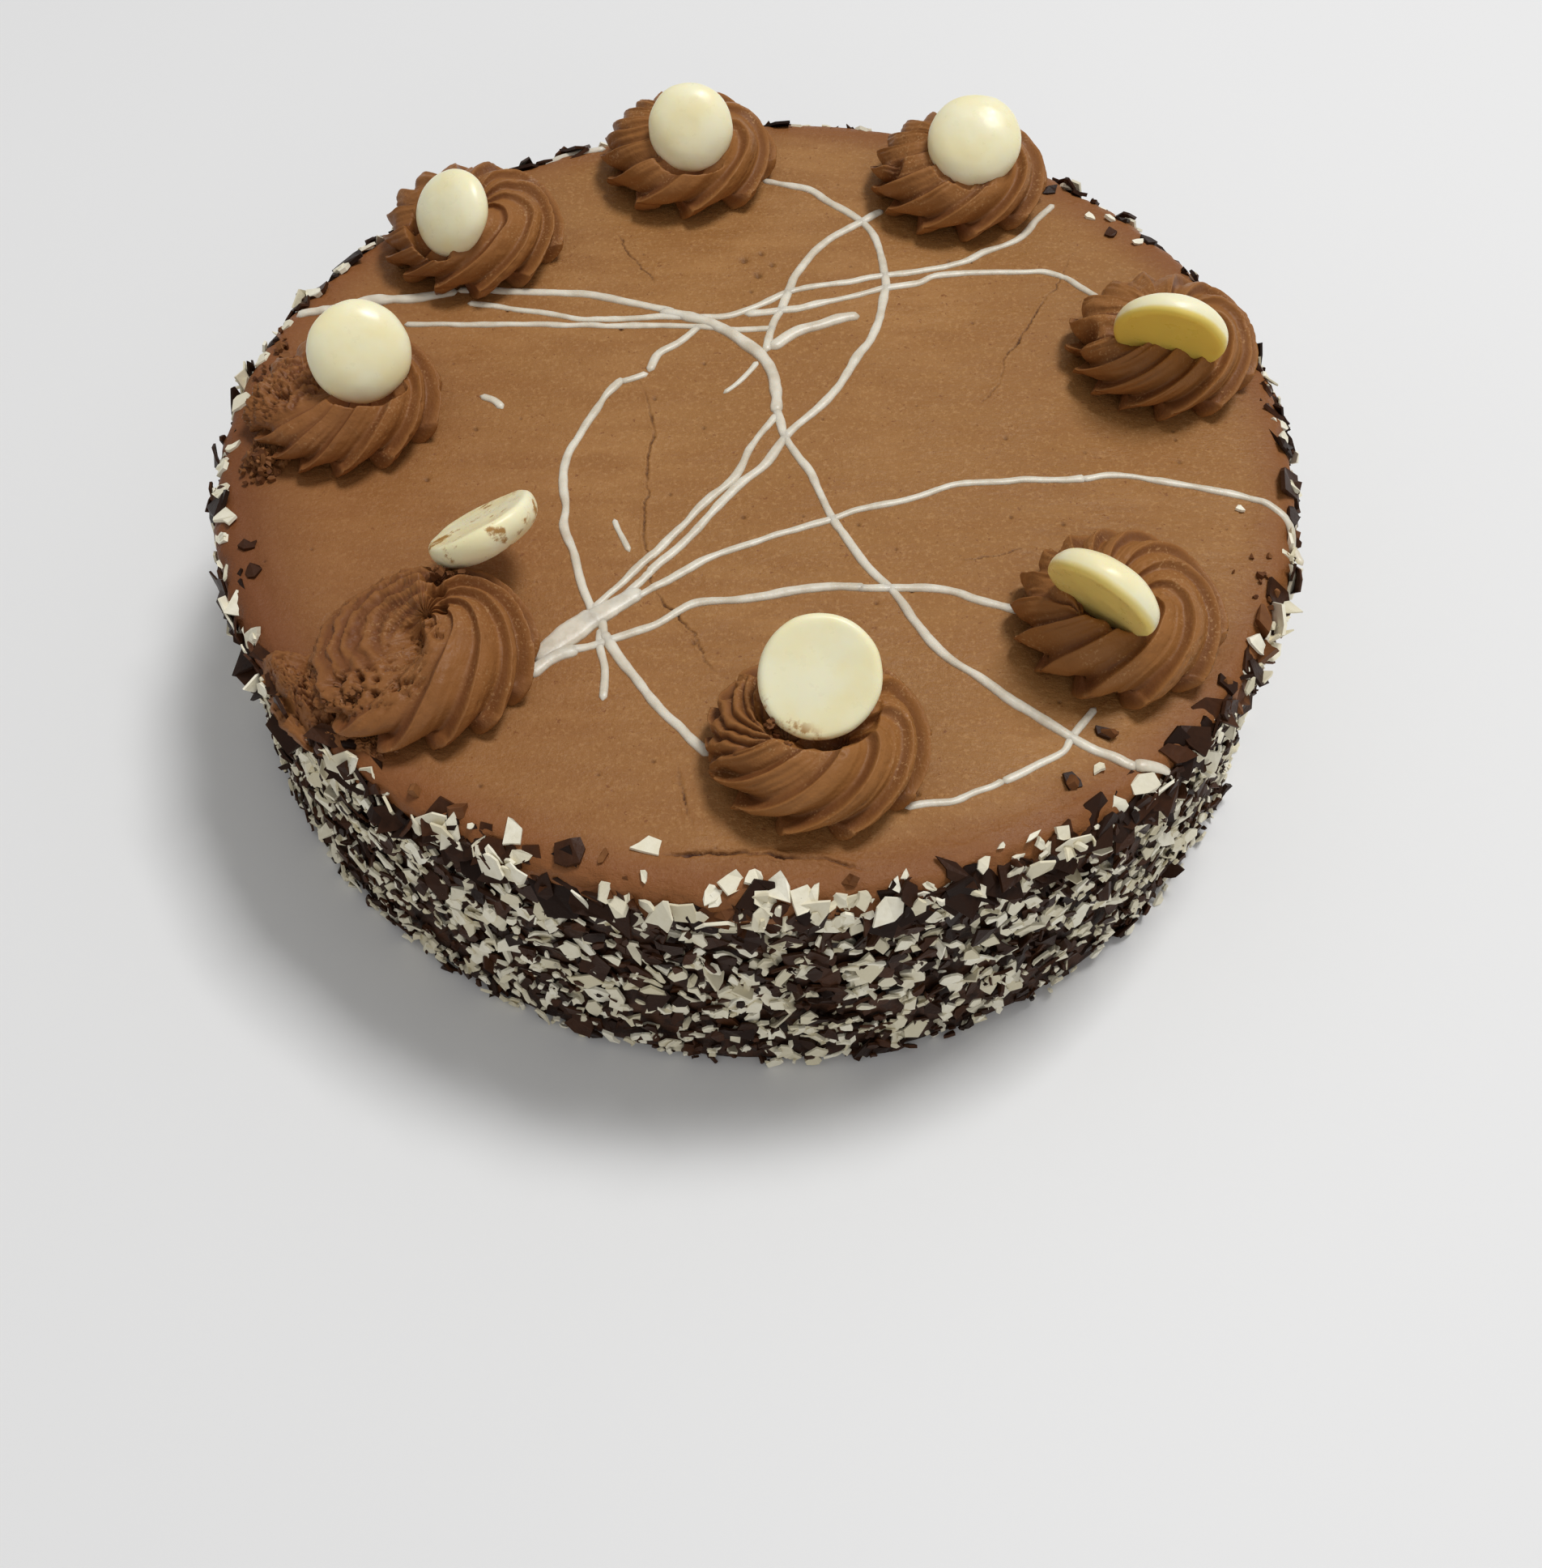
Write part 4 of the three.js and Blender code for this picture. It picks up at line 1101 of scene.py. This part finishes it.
def make_button(spec, number):
    """One white chocolate button: a dome with a flat back, a little uneven, smeared with cream."""
    section = spline(BUTTON_SECTION, 0.55) * spec["size"]
    turn = np.linspace(0, 2 * math.pi, BUTTON_COLUMNS, endpoint=False)
    rings = np.stack([section[:, :1] * np.cos(turn), section[:, :1] * np.sin(turn),
                      np.broadcast_to(section[:, 1:], (len(section), len(turn)))], -1)
    spots = rings.reshape(-1, 3)
    # Painted shade and reflected light on the flat side, as a share of the yellow.
    flat = smoothstep(-spots[:, 2], 2.0, 2.9) * spec.get("flat", 0.0)
    swell = 0.02 * noise(spots, 9, 400 + number) + 0.004 * noise(spots, 2.5, 410 + number)
    spots = spots * (1 + np.minimum(swell, 0.012))[:, None]
    spots[:, 2] += 0.12 * noise(spots, 7, 420 + number) + 0.015 * noise(spots, 2, 430 + number)
    sx, sy, amount = spec.get("smudge", (0, 0, 0))
    smudge = np.full(len(spots), float(amount))
    if sx or sy:
        smudge = amount * smoothstep(spots[:, 0] * sx + spots[:, 1] * sy, 6.5, 9.5)
    matrix, place = button_pose(spec)
    points, faces = closed_stack(spots.reshape(rings.shape))
    points = points @ matrix.T + place
    name = f"white_button_{number}"
    values = {"smudge": np.concatenate([smudge, [amount, amount]]),
              "flat": np.concatenate([flat, [spec.get("flat", 0.0), 0.0]])}
    return piece(mesh_object(name, points, faces, BUTTON, values), "button", f"button_{number}")


# Chocolate flakes

def plates(random, places, normals, sizes, thickness, corners):
    """Closed thin plates with uneven corners, each slightly bent, as points and faces."""
    count = len(places)
    helper = np.where(np.abs(normals[:, 2:3]) < 0.9, [[0, 0, 1.0]], [[1.0, 0, 0]])
    first = np.cross(helper, normals)
    first /= np.linalg.norm(first, axis=1, keepdims=True)
    second = np.cross(normals, first)
    spin = random.uniform(0, 2 * math.pi, (count, 1))
    u = np.cos(spin) * first + np.sin(spin) * second
    v = -np.sin(spin) * first + np.cos(spin) * second
    base = np.arange(corners)[None, :]
    angle = 2 * math.pi * (base + random.uniform(-0.4, 0.4, (count, corners))) / corners
    reach = 0.5 * sizes[:, None] * random.uniform(0.5, 1.2, (count, corners))
    slim = random.uniform(0.45, 0.95, (count, 1))
    a = reach * np.cos(angle)
    b = reach * np.sin(angle) * slim
    bend = random.uniform(-0.16, 0.16, (count, 1)) / sizes[:, None]
    lift = bend * a**2 + random.normal(0, 0.04, (count, corners)) * sizes[:, None]
    half = 0.5 * thickness[:, None]
    spots = places[:, None, :] + a[..., None] * u[:, None] + b[..., None] * v[:, None]
    upper = spots + (lift + half)[..., None] * normals[:, None]
    lower = spots + (lift - half)[..., None] * normals[:, None]
    points = np.concatenate([upper, lower], axis=1)
    start = (np.arange(count) * 2 * corners)[:, None]
    top = start + np.arange(corners)[None, :]
    bottom = start + corners + np.arange(corners)[None, ::-1]
    here = np.arange(corners)
    after = (here + 1) % corners
    sides = np.stack([here, here + corners, after + corners, after], -1)
    sides = (start[:, :, None] + sides[None]).reshape(-1, 4)
    return points.reshape(-1, 3), [top, bottom, sides]


# The flakes reach up to this height, over the lower part of the cream's shoulder
FLAKE_TOP = CREAM_BOTTOM + 4.6
FLAKE_CORNERS = 7


def side_reach(height):
    """Reach of the flaked side, which laps over the lower part of the cream's shoulder."""
    heights = [0, 26, CREAM_BOTTOM, CREAM_BOTTOM + 1.2, CREAM_BOTTOM + 3, CREAM_BOTTOM + 4.6]
    return np.interp(height, heights, [110.3, 108.7, 109.0, 110.2, 109.8, 108.4])


def side_spots(random, count, lift):
    """Random places on the side of the cake, with their outward directions."""
    turn = random.uniform(0, 2 * math.pi, count)
    ragged = 2.2 * noise(np.stack([40 * np.cos(turn), 40 * np.sin(turn), 0 * turn], -1), 9, 71, 3)
    height = 0.4 + random.uniform(0, 1, count) * (FLAKE_TOP - 1.6 + ragged)
    height = np.minimum(height, FLAKE_TOP)
    reach = side_reach(height) * outline_scale(turn) + lift
    rise = np.interp(height, [CREAM_BOTTOM, FLAKE_TOP], [0, 0.5])
    outward = np.stack([np.cos(turn), np.sin(turn), rise], axis=-1)
    outward /= np.linalg.norm(outward, axis=1, keepdims=True)
    places = np.stack([reach * np.cos(turn), reach * np.sin(turn), height], axis=-1)
    return places, outward


def tilted(random, normals, amount):
    """Directions leant at random, each by its own amount."""
    leant = normals + random.normal(0, 1, normals.shape) * amount[:, None]
    return leant / np.linalg.norm(leant, axis=1, keepdims=True)


SIDE_COLUMNS, SIDE_ROWS = 480, 42


def make_side():
    """The rough, closed core under the flakes, from the cake's foot to the cream."""
    turn = np.linspace(0, 2 * math.pi, SIDE_COLUMNS, endpoint=False)
    height = np.linspace(0, CREAM_BOTTOM - 0.3, SIDE_ROWS)
    reach = side_reach(height)[:, None] * outline_scale(turn)[None, :] - 0.6
    rings = np.stack([reach * np.cos(turn), reach * np.sin(turn),
                      np.broadcast_to(height[:, None], reach.shape)], -1)
    spots = rings.reshape(-1, 3)
    rough = 0.8 * noise(spots, 4.5, 50, 3)
    rough *= np.repeat(np.interp(height, [0, 1.5], [0.3, 1]), SIDE_COLUMNS)
    outward = spots * [1, 1, 0] / np.linalg.norm(spots[:, :2], axis=1, keepdims=True)
    rings = (spots + rough[:, None] * outward).reshape(rings.shape)
    points, faces = closed_stack(rings)
    return piece(mesh_object("side_core", points, faces, SIDE), "side", "cake_body")


def make_side_flakes(name, seed, count, size_range, material, depth):
    """Flakes all over the side, larger towards the top, most of them flat and some leant out."""
    random = np.random.default_rng(seed)
    places, outward = side_spots(random, count, random.uniform(-0.5, depth, count))
    share = places[:, 2] / CREAM_BOTTOM
    small, large = size_range
    size = (small + (large - small) * random.random(count) ** 1.6) * (0.72 + 0.5 * share)
    size *= np.where(random.random(count) < 0.08, 1.5, 1.0)
    lean = np.where(random.random(count) < 0.22, 0.7, 0.2)
    normals = tilted(random, outward, lean)
    thickness = random.uniform(0.3, 0.7, count)
    points, faces = plates(random, places, normals, size, thickness, FLAKE_CORNERS)
    tint = np.repeat(random.uniform(0, 1, count), 2 * FLAKE_CORNERS)
    made = mesh_object(name, points, faces, material, {"tint": tint}, smooth=False)
    return piece(made, "side")


# Flakes on the rim, as seen: x, y, size. Beyond the rim the place slides down the side.
WHITE_RIM = [
    (-43.2, -96.5, 6.5), (-43.2, -102.0, 5.0), (-35.6, -104.6, 4.0), (-19.7, -99.2, 5.5),
    (-50.4, -94.5, 1.6), (63.4, -89.7, 4.6), (59.5, -93.0, 4.0), (47.0, -96.9, 3.4),
    (41.4, -98.9, 2.0), (49.5, -99.3, 2.4), (44.6, -101.6, 2.6), (28.8, -106.5, 5.0),
    (24.6, -105.2, 3.0), (22.6, -106.5, 3.0), (18.6, -108.9, 4.0), (60.2, -82.6, 3.2),
    (91.4, -59.6, 3.5), (68.8, 89.0, 3.0), (70.5, 84.5, 3.6), (75.0, 72.4, 3.0),
    (79.2, 71.8, 3.4), (85.0, 63.5, 3.2), (106.5, -11.1, 4.5), (-71.2, -75.0, 3.0),
    (-8.2, -108.2, 5.0), (-4.8, -106.6, 6.0), (-1.4, -105.7, 6.5), (0.7, -109.0, 6.0),
    (3.4, -107.4, 6.5), (6.2, -109.8, 6.0), (8.9, -108.2, 6.0), (10.9, -111.4, 4.6),
    (-6.1, -113.0, 5.5), (1.4, -114.5, 5.5), (5.4, -116.1, 5.0), (95, -19, 2.2), (103, -30, 4),
    (-70, 96, 4), (-20, -105, 3),
]
DARK_RIM = [
    (-69.6, -86.1, 7.0), (-58.8, -96.0, 7.0), (-50.1, -97.0, 7.5), (-57.4, -101.2, 7.0),
    (-39.0, -101.5, 7.0), (-32.0, -104.8, 8.0), (66.9, 82.4, 4.5), (73.1, 82.4, 5.0),
    (76.7, 79.4, 4.5), (81.7, 72.4, 4.5), (79.0, 66.6, 4.0), (87.9, 64.9, 5.0),
    (106.0, 16.9, 5.0), (108.0, 12.0, 5.0), (108.5, 3.3, 5.5), (-74.0, -77.0, 4.0),
    (86.5, -67.0, 6.5), (-40.7, 104.7, 7.0), (-100, -29, 4.0), (-98, -36, 4.0),
    (73, 84, 4.0), (94, 55, 4.0), (62, -75, 4.5), (54.9, -85.7, 4.5), (86, -63, 4.5),
    (-54, -93, 5.5), (-33, -101, 6.5), (98, -51, 8.0),
]


def rim_places(spots):
    """Places and outward directions of flakes on the top, the shoulder or the upper side."""
    spots = np.asarray(spots, dtype=float)
    x, y = spots[:, 0], spots[:, 1]
    turn = np.arctan2(y, x)
    edge = np.hypot(x, y) / outline_scale(turn)
    beyond = np.clip(edge - CAKE_RADIUS + 1.5, 0, None)
    shrink = np.minimum(1, (CAKE_RADIUS - 1.5) / edge)
    x, y = x * shrink, y * shrink
    height = surface(x, y) - 1.5 * beyond
    places = np.stack([x, y, height], axis=-1)
    normals = shoulder_normal(x, y)
    return places, normals


def make_rim_flakes(name, spots, seed, material, tint_range, lift=0.35):
    """Flakes on the rim at given places, each with its size, lifted a little off the cream."""
    random = np.random.default_rng(seed)
    places, normals = rim_places([s[:2] for s in spots])
    sizes = np.array([s[2] for s in spots])
    normals = tilted(random, normals, np.full(len(spots), 0.16))
    places = places + lift * normals
    thickness = random.uniform(0.5, 0.9, len(spots))
    points, faces = plates(random, places, normals, sizes, thickness, FLAKE_CORNERS)
    tint = np.repeat(random.uniform(*tint_range, len(spots)), 2 * FLAKE_CORNERS)
    made = mesh_object(name, points, faces, material, {"tint": tint}, smooth=False)
    return piece(made, "side")


def shoulder_band(random, count, size_range, start=0, end=360, low=1.8, high=2.2):
    """Shards in a loose band round the shoulder, from one azimuth to another."""
    turn = np.radians(random.uniform(start, end, count))
    edge = random.uniform(CAKE_RADIUS - low, CAKE_RADIUS + high, count)
    reach = edge * outline_scale(turn)
    return [(r * math.cos(a), r * math.sin(a), s)
            for r, a, s in zip(reach, turn, random.uniform(*size_range, count))]


# Crumbs: place on the top, half lengths, lowest and highest place, count, and sizes
CRUMB_CLUSTERS = [
    (-71, -70.5, 8, 1.8, (4.5, 6.5), 50, (0.5, 1.4)),
    (-79, -67, 5, 5, (0.2, 1.0), 60, (0.6, 2.0)),
    (-100.5, -8, 3, 4, (0.3, 4.0), 110, (0.9, 2.6)),
    (1.6, -82.6, 1.4, 1.4, (10.5, 14.5), 40, (0.5, 1.3)),
    (4.6, -86.2, 1.2, 1.2, (9.5, 13.0), 26, (0.5, 1.2)),
    (-59.6, -46.8, 2.6, 1.1, (6.5, 13.2), 120, (0.7, 2.2)),
    (-55.5, -47.2, 3.4, 0.8, (8.5, 13.2), 80, (0.6, 1.6)),
    (96, -40, 6, 12, (0.2, 0.6), 14, (0.8, 2.2)),
    (-103, 22, 3, 14, (0.2, 0.9), 26, (0.8, 2.4)),
]
# Single crumbs in the cream: place and size
CRUMBS = [
    (62.5, -75, 2.6), (54.9, -85.7, 2.6), (15.3, -106.5, 2.4), (-60.9, -87.5, 2.6),
    (-53, -91.8, 3.4), (-27.2, -101.5, 2.6), (86.2, -62.5, 2.6), (94.7, -48, 5.0),
    (95.1, -52.5, 4.0),
]
CRUMB_CORNERS = 6


def make_crumbs():
    """Thick crumbs of cream, in loose piles at the torn rosettes and one by one on the rim."""
    random = np.random.default_rng(67)
    places, sizes = [], []
    for x, y, long, wide, (low, high), count, (small, large) in CRUMB_CLUSTERS:
        spread = random.normal(0, 0.5, (count, 2))
        spots = spread * [long, wide] + [x, y]
        pile = low + (high - low) * np.exp(-(spread**2).sum(axis=1)) * random.random(count)
        height = surface(spots[:, 0], spots[:, 1]) + pile
        places.append(np.column_stack([spots, height]))
        sizes.append(small + (large - small) * random.random(count) ** 2)
    singles = np.array(CRUMBS)
    height = surface(singles[:, 0], singles[:, 1]) + 0.15 * singles[:, 2]
    places.append(np.column_stack([singles[:, :2], height]))
    sizes.append(singles[:, 2])
    places, sizes = np.concatenate(places), np.concatenate(sizes)
    up = np.tile([0.0, 0.0, 1.0], (len(places), 1))
    normals = tilted(random, up, np.full(len(places), 0.6))
    points, faces = plates(random, places, normals, 1.25 * sizes, 0.6 * sizes, CRUMB_CORNERS)
    tint = np.repeat(random.uniform(0, 1, len(places)), 2 * CRUMB_CORNERS)
    made = mesh_object("crumbs", points, faces, CRUMB, {"tint": tint}, smooth=False)
    return piece(made, "rosette")


# Assembly

make_side()
make_cream()
make_drizzle()
for number, spec in enumerate(ROSETTES, 1):
    make_rosette(spec, number)
    make_button(spec, number)
make_side_flakes("white_flakes", 61, 4600, (2.0, 6.6), WHITE_FLAKE, depth=1.5)
make_side_flakes("dark_flakes", 62, 3600, (2.2, 6.8), DARK_FLAKE, depth=1.4)

# The flakes seen on the rim, with a seeded band of others between them
band = shoulder_band(np.random.default_rng(63), 190, (4.5, 10.5))
make_rim_flakes("dark_rim_flakes", DARK_RIM + band, 64, DARK_FLAKE, tint_range=(0, 1))
random = np.random.default_rng(65)
band = shoulder_band(random, 110, (2.5, 6.0))
band += shoulder_band(random, 34, (3, 7), start=145, end=215, low=3, high=1)
make_rim_flakes("white_rim_flakes", WHITE_RIM + band, 66, WHITE_FLAKE, tint_range=(0.4, 1))

# Large plates along the front, dark ones and milk chocolate ones
random = np.random.default_rng(68)
band = shoulder_band(random, 26, (8, 14), start=-157, end=-100, low=-1.0, high=3.6)
band += shoulder_band(random, 20, (8, 13), start=-80, end=-48, low=-1.0, high=3.6)
make_rim_flakes("dark_plates", band, 69, DARK_FLAKE, tint_range=(0, 0.5), lift=1.7)
band = shoulder_band(random, 16, (6, 11), start=-48, end=20, low=-0.5, high=3.0)
band += shoulder_band(random, 12, (4, 8), start=-135, end=-70, low=0.5, high=1.5)
make_rim_flakes("brown_plates", band, 70, CRUMB, tint_range=(0, 0.5), lift=1.2)

make_crumbs()
for number, smear in enumerate(SMEARS, 1):
    make_smear(number, *smear)


# Floor, light and camera

FLOOR_REACH = 4.0


def make_floor():
    """A wide, level floor just under the cake, which is no part of it."""
    far = FLOOR_REACH
    mesh = bpy.data.meshes.new("floor")
    corners = [(-far, -far, 0), (far, -far, 0), (far, far, 0), (-far, far, 0)]
    mesh.from_pydata(corners, [], [(0, 1, 2, 3)])
    mesh.materials.append(floor_finish())
    floor = bpy.data.objects.new("floor", mesh)
    floor.location.z = -0.2 * MM
    bpy.context.scene.collection.objects.link(floor)


def area_light(name, azimuth, elevation, distance, size, power):
    """A square light that looks at the cake from an azimuth round from +X and an elevation."""
    light = bpy.data.lights.new(name, "AREA")
    light.size = size
    light.energy = power
    lamp = bpy.data.objects.new(name, light)
    a, e = math.radians(azimuth), math.radians(elevation)
    spot = Vector((math.cos(e) * math.cos(a), math.cos(e) * math.sin(a), math.sin(e))) * distance
    lamp.location = spot
    lamp.rotation_euler = (-spot).to_track_quat("-Z", "Y").to_euler()
    bpy.context.scene.collection.objects.link(lamp)


def make_world(strength):
    """Even white light from all round."""
    world = bpy.data.worlds.new("world")
    world.use_nodes = True
    background = world.node_tree.nodes["Background"]
    background.inputs["Color"].default_value = (1.0, 1.0, 1.0, 1.0)
    background.inputs["Strength"].default_value = strength
    bpy.context.scene.world = world


# Where the picture was taken from: place in millimetres, angles in radians, focal length as
# a share of the picture's long side
CAMERA_PLACE = (0.0, -267.4, 315.2)
CAMERA_YAW, CAMERA_PITCH, CAMERA_ROLL = 0.00936, 0.95649, 0.00885
CAMERA_FOCAL = 2200 / 1936
SENSOR = 36.0


def make_camera():
    """The camera, rolled a little about its own axis, as the photo was."""
    data = bpy.data.cameras.new("camera")
    data.sensor_width = SENSOR
    data.lens = CAMERA_FOCAL * SENSOR
    data.clip_start = 0.01
    data.clip_end = 20.0
    forward = Vector((math.sin(CAMERA_YAW) * math.cos(CAMERA_PITCH),
                      math.cos(CAMERA_YAW) * math.cos(CAMERA_PITCH), -math.sin(CAMERA_PITCH)))
    level = forward.cross(Vector((0, 0, 1))).normalized()
    upright = level.cross(forward)
    c, s = math.cos(CAMERA_ROLL), math.sin(CAMERA_ROLL)
    right = c * level + s * upright
    up = -s * level + c * upright
    camera = bpy.data.objects.new("camera", data)
    turn = Matrix((right, up, -forward)).transposed().to_4x4()
    camera.matrix_world = Matrix.Translation(Vector(CAMERA_PLACE) * MM) @ turn
    bpy.context.scene.collection.objects.link(camera)
    bpy.context.scene.camera = camera


make_floor()
make_world(strength=0.35)
area_light("key", azimuth=40, elevation=68, distance=2.0, size=0.55, power=23.0)
area_light("fill", azimuth=-80, elevation=28, distance=1.6, size=1.2, power=2.6)
make_camera()
bpy.context.scene.view_settings.view_transform = "Standard"
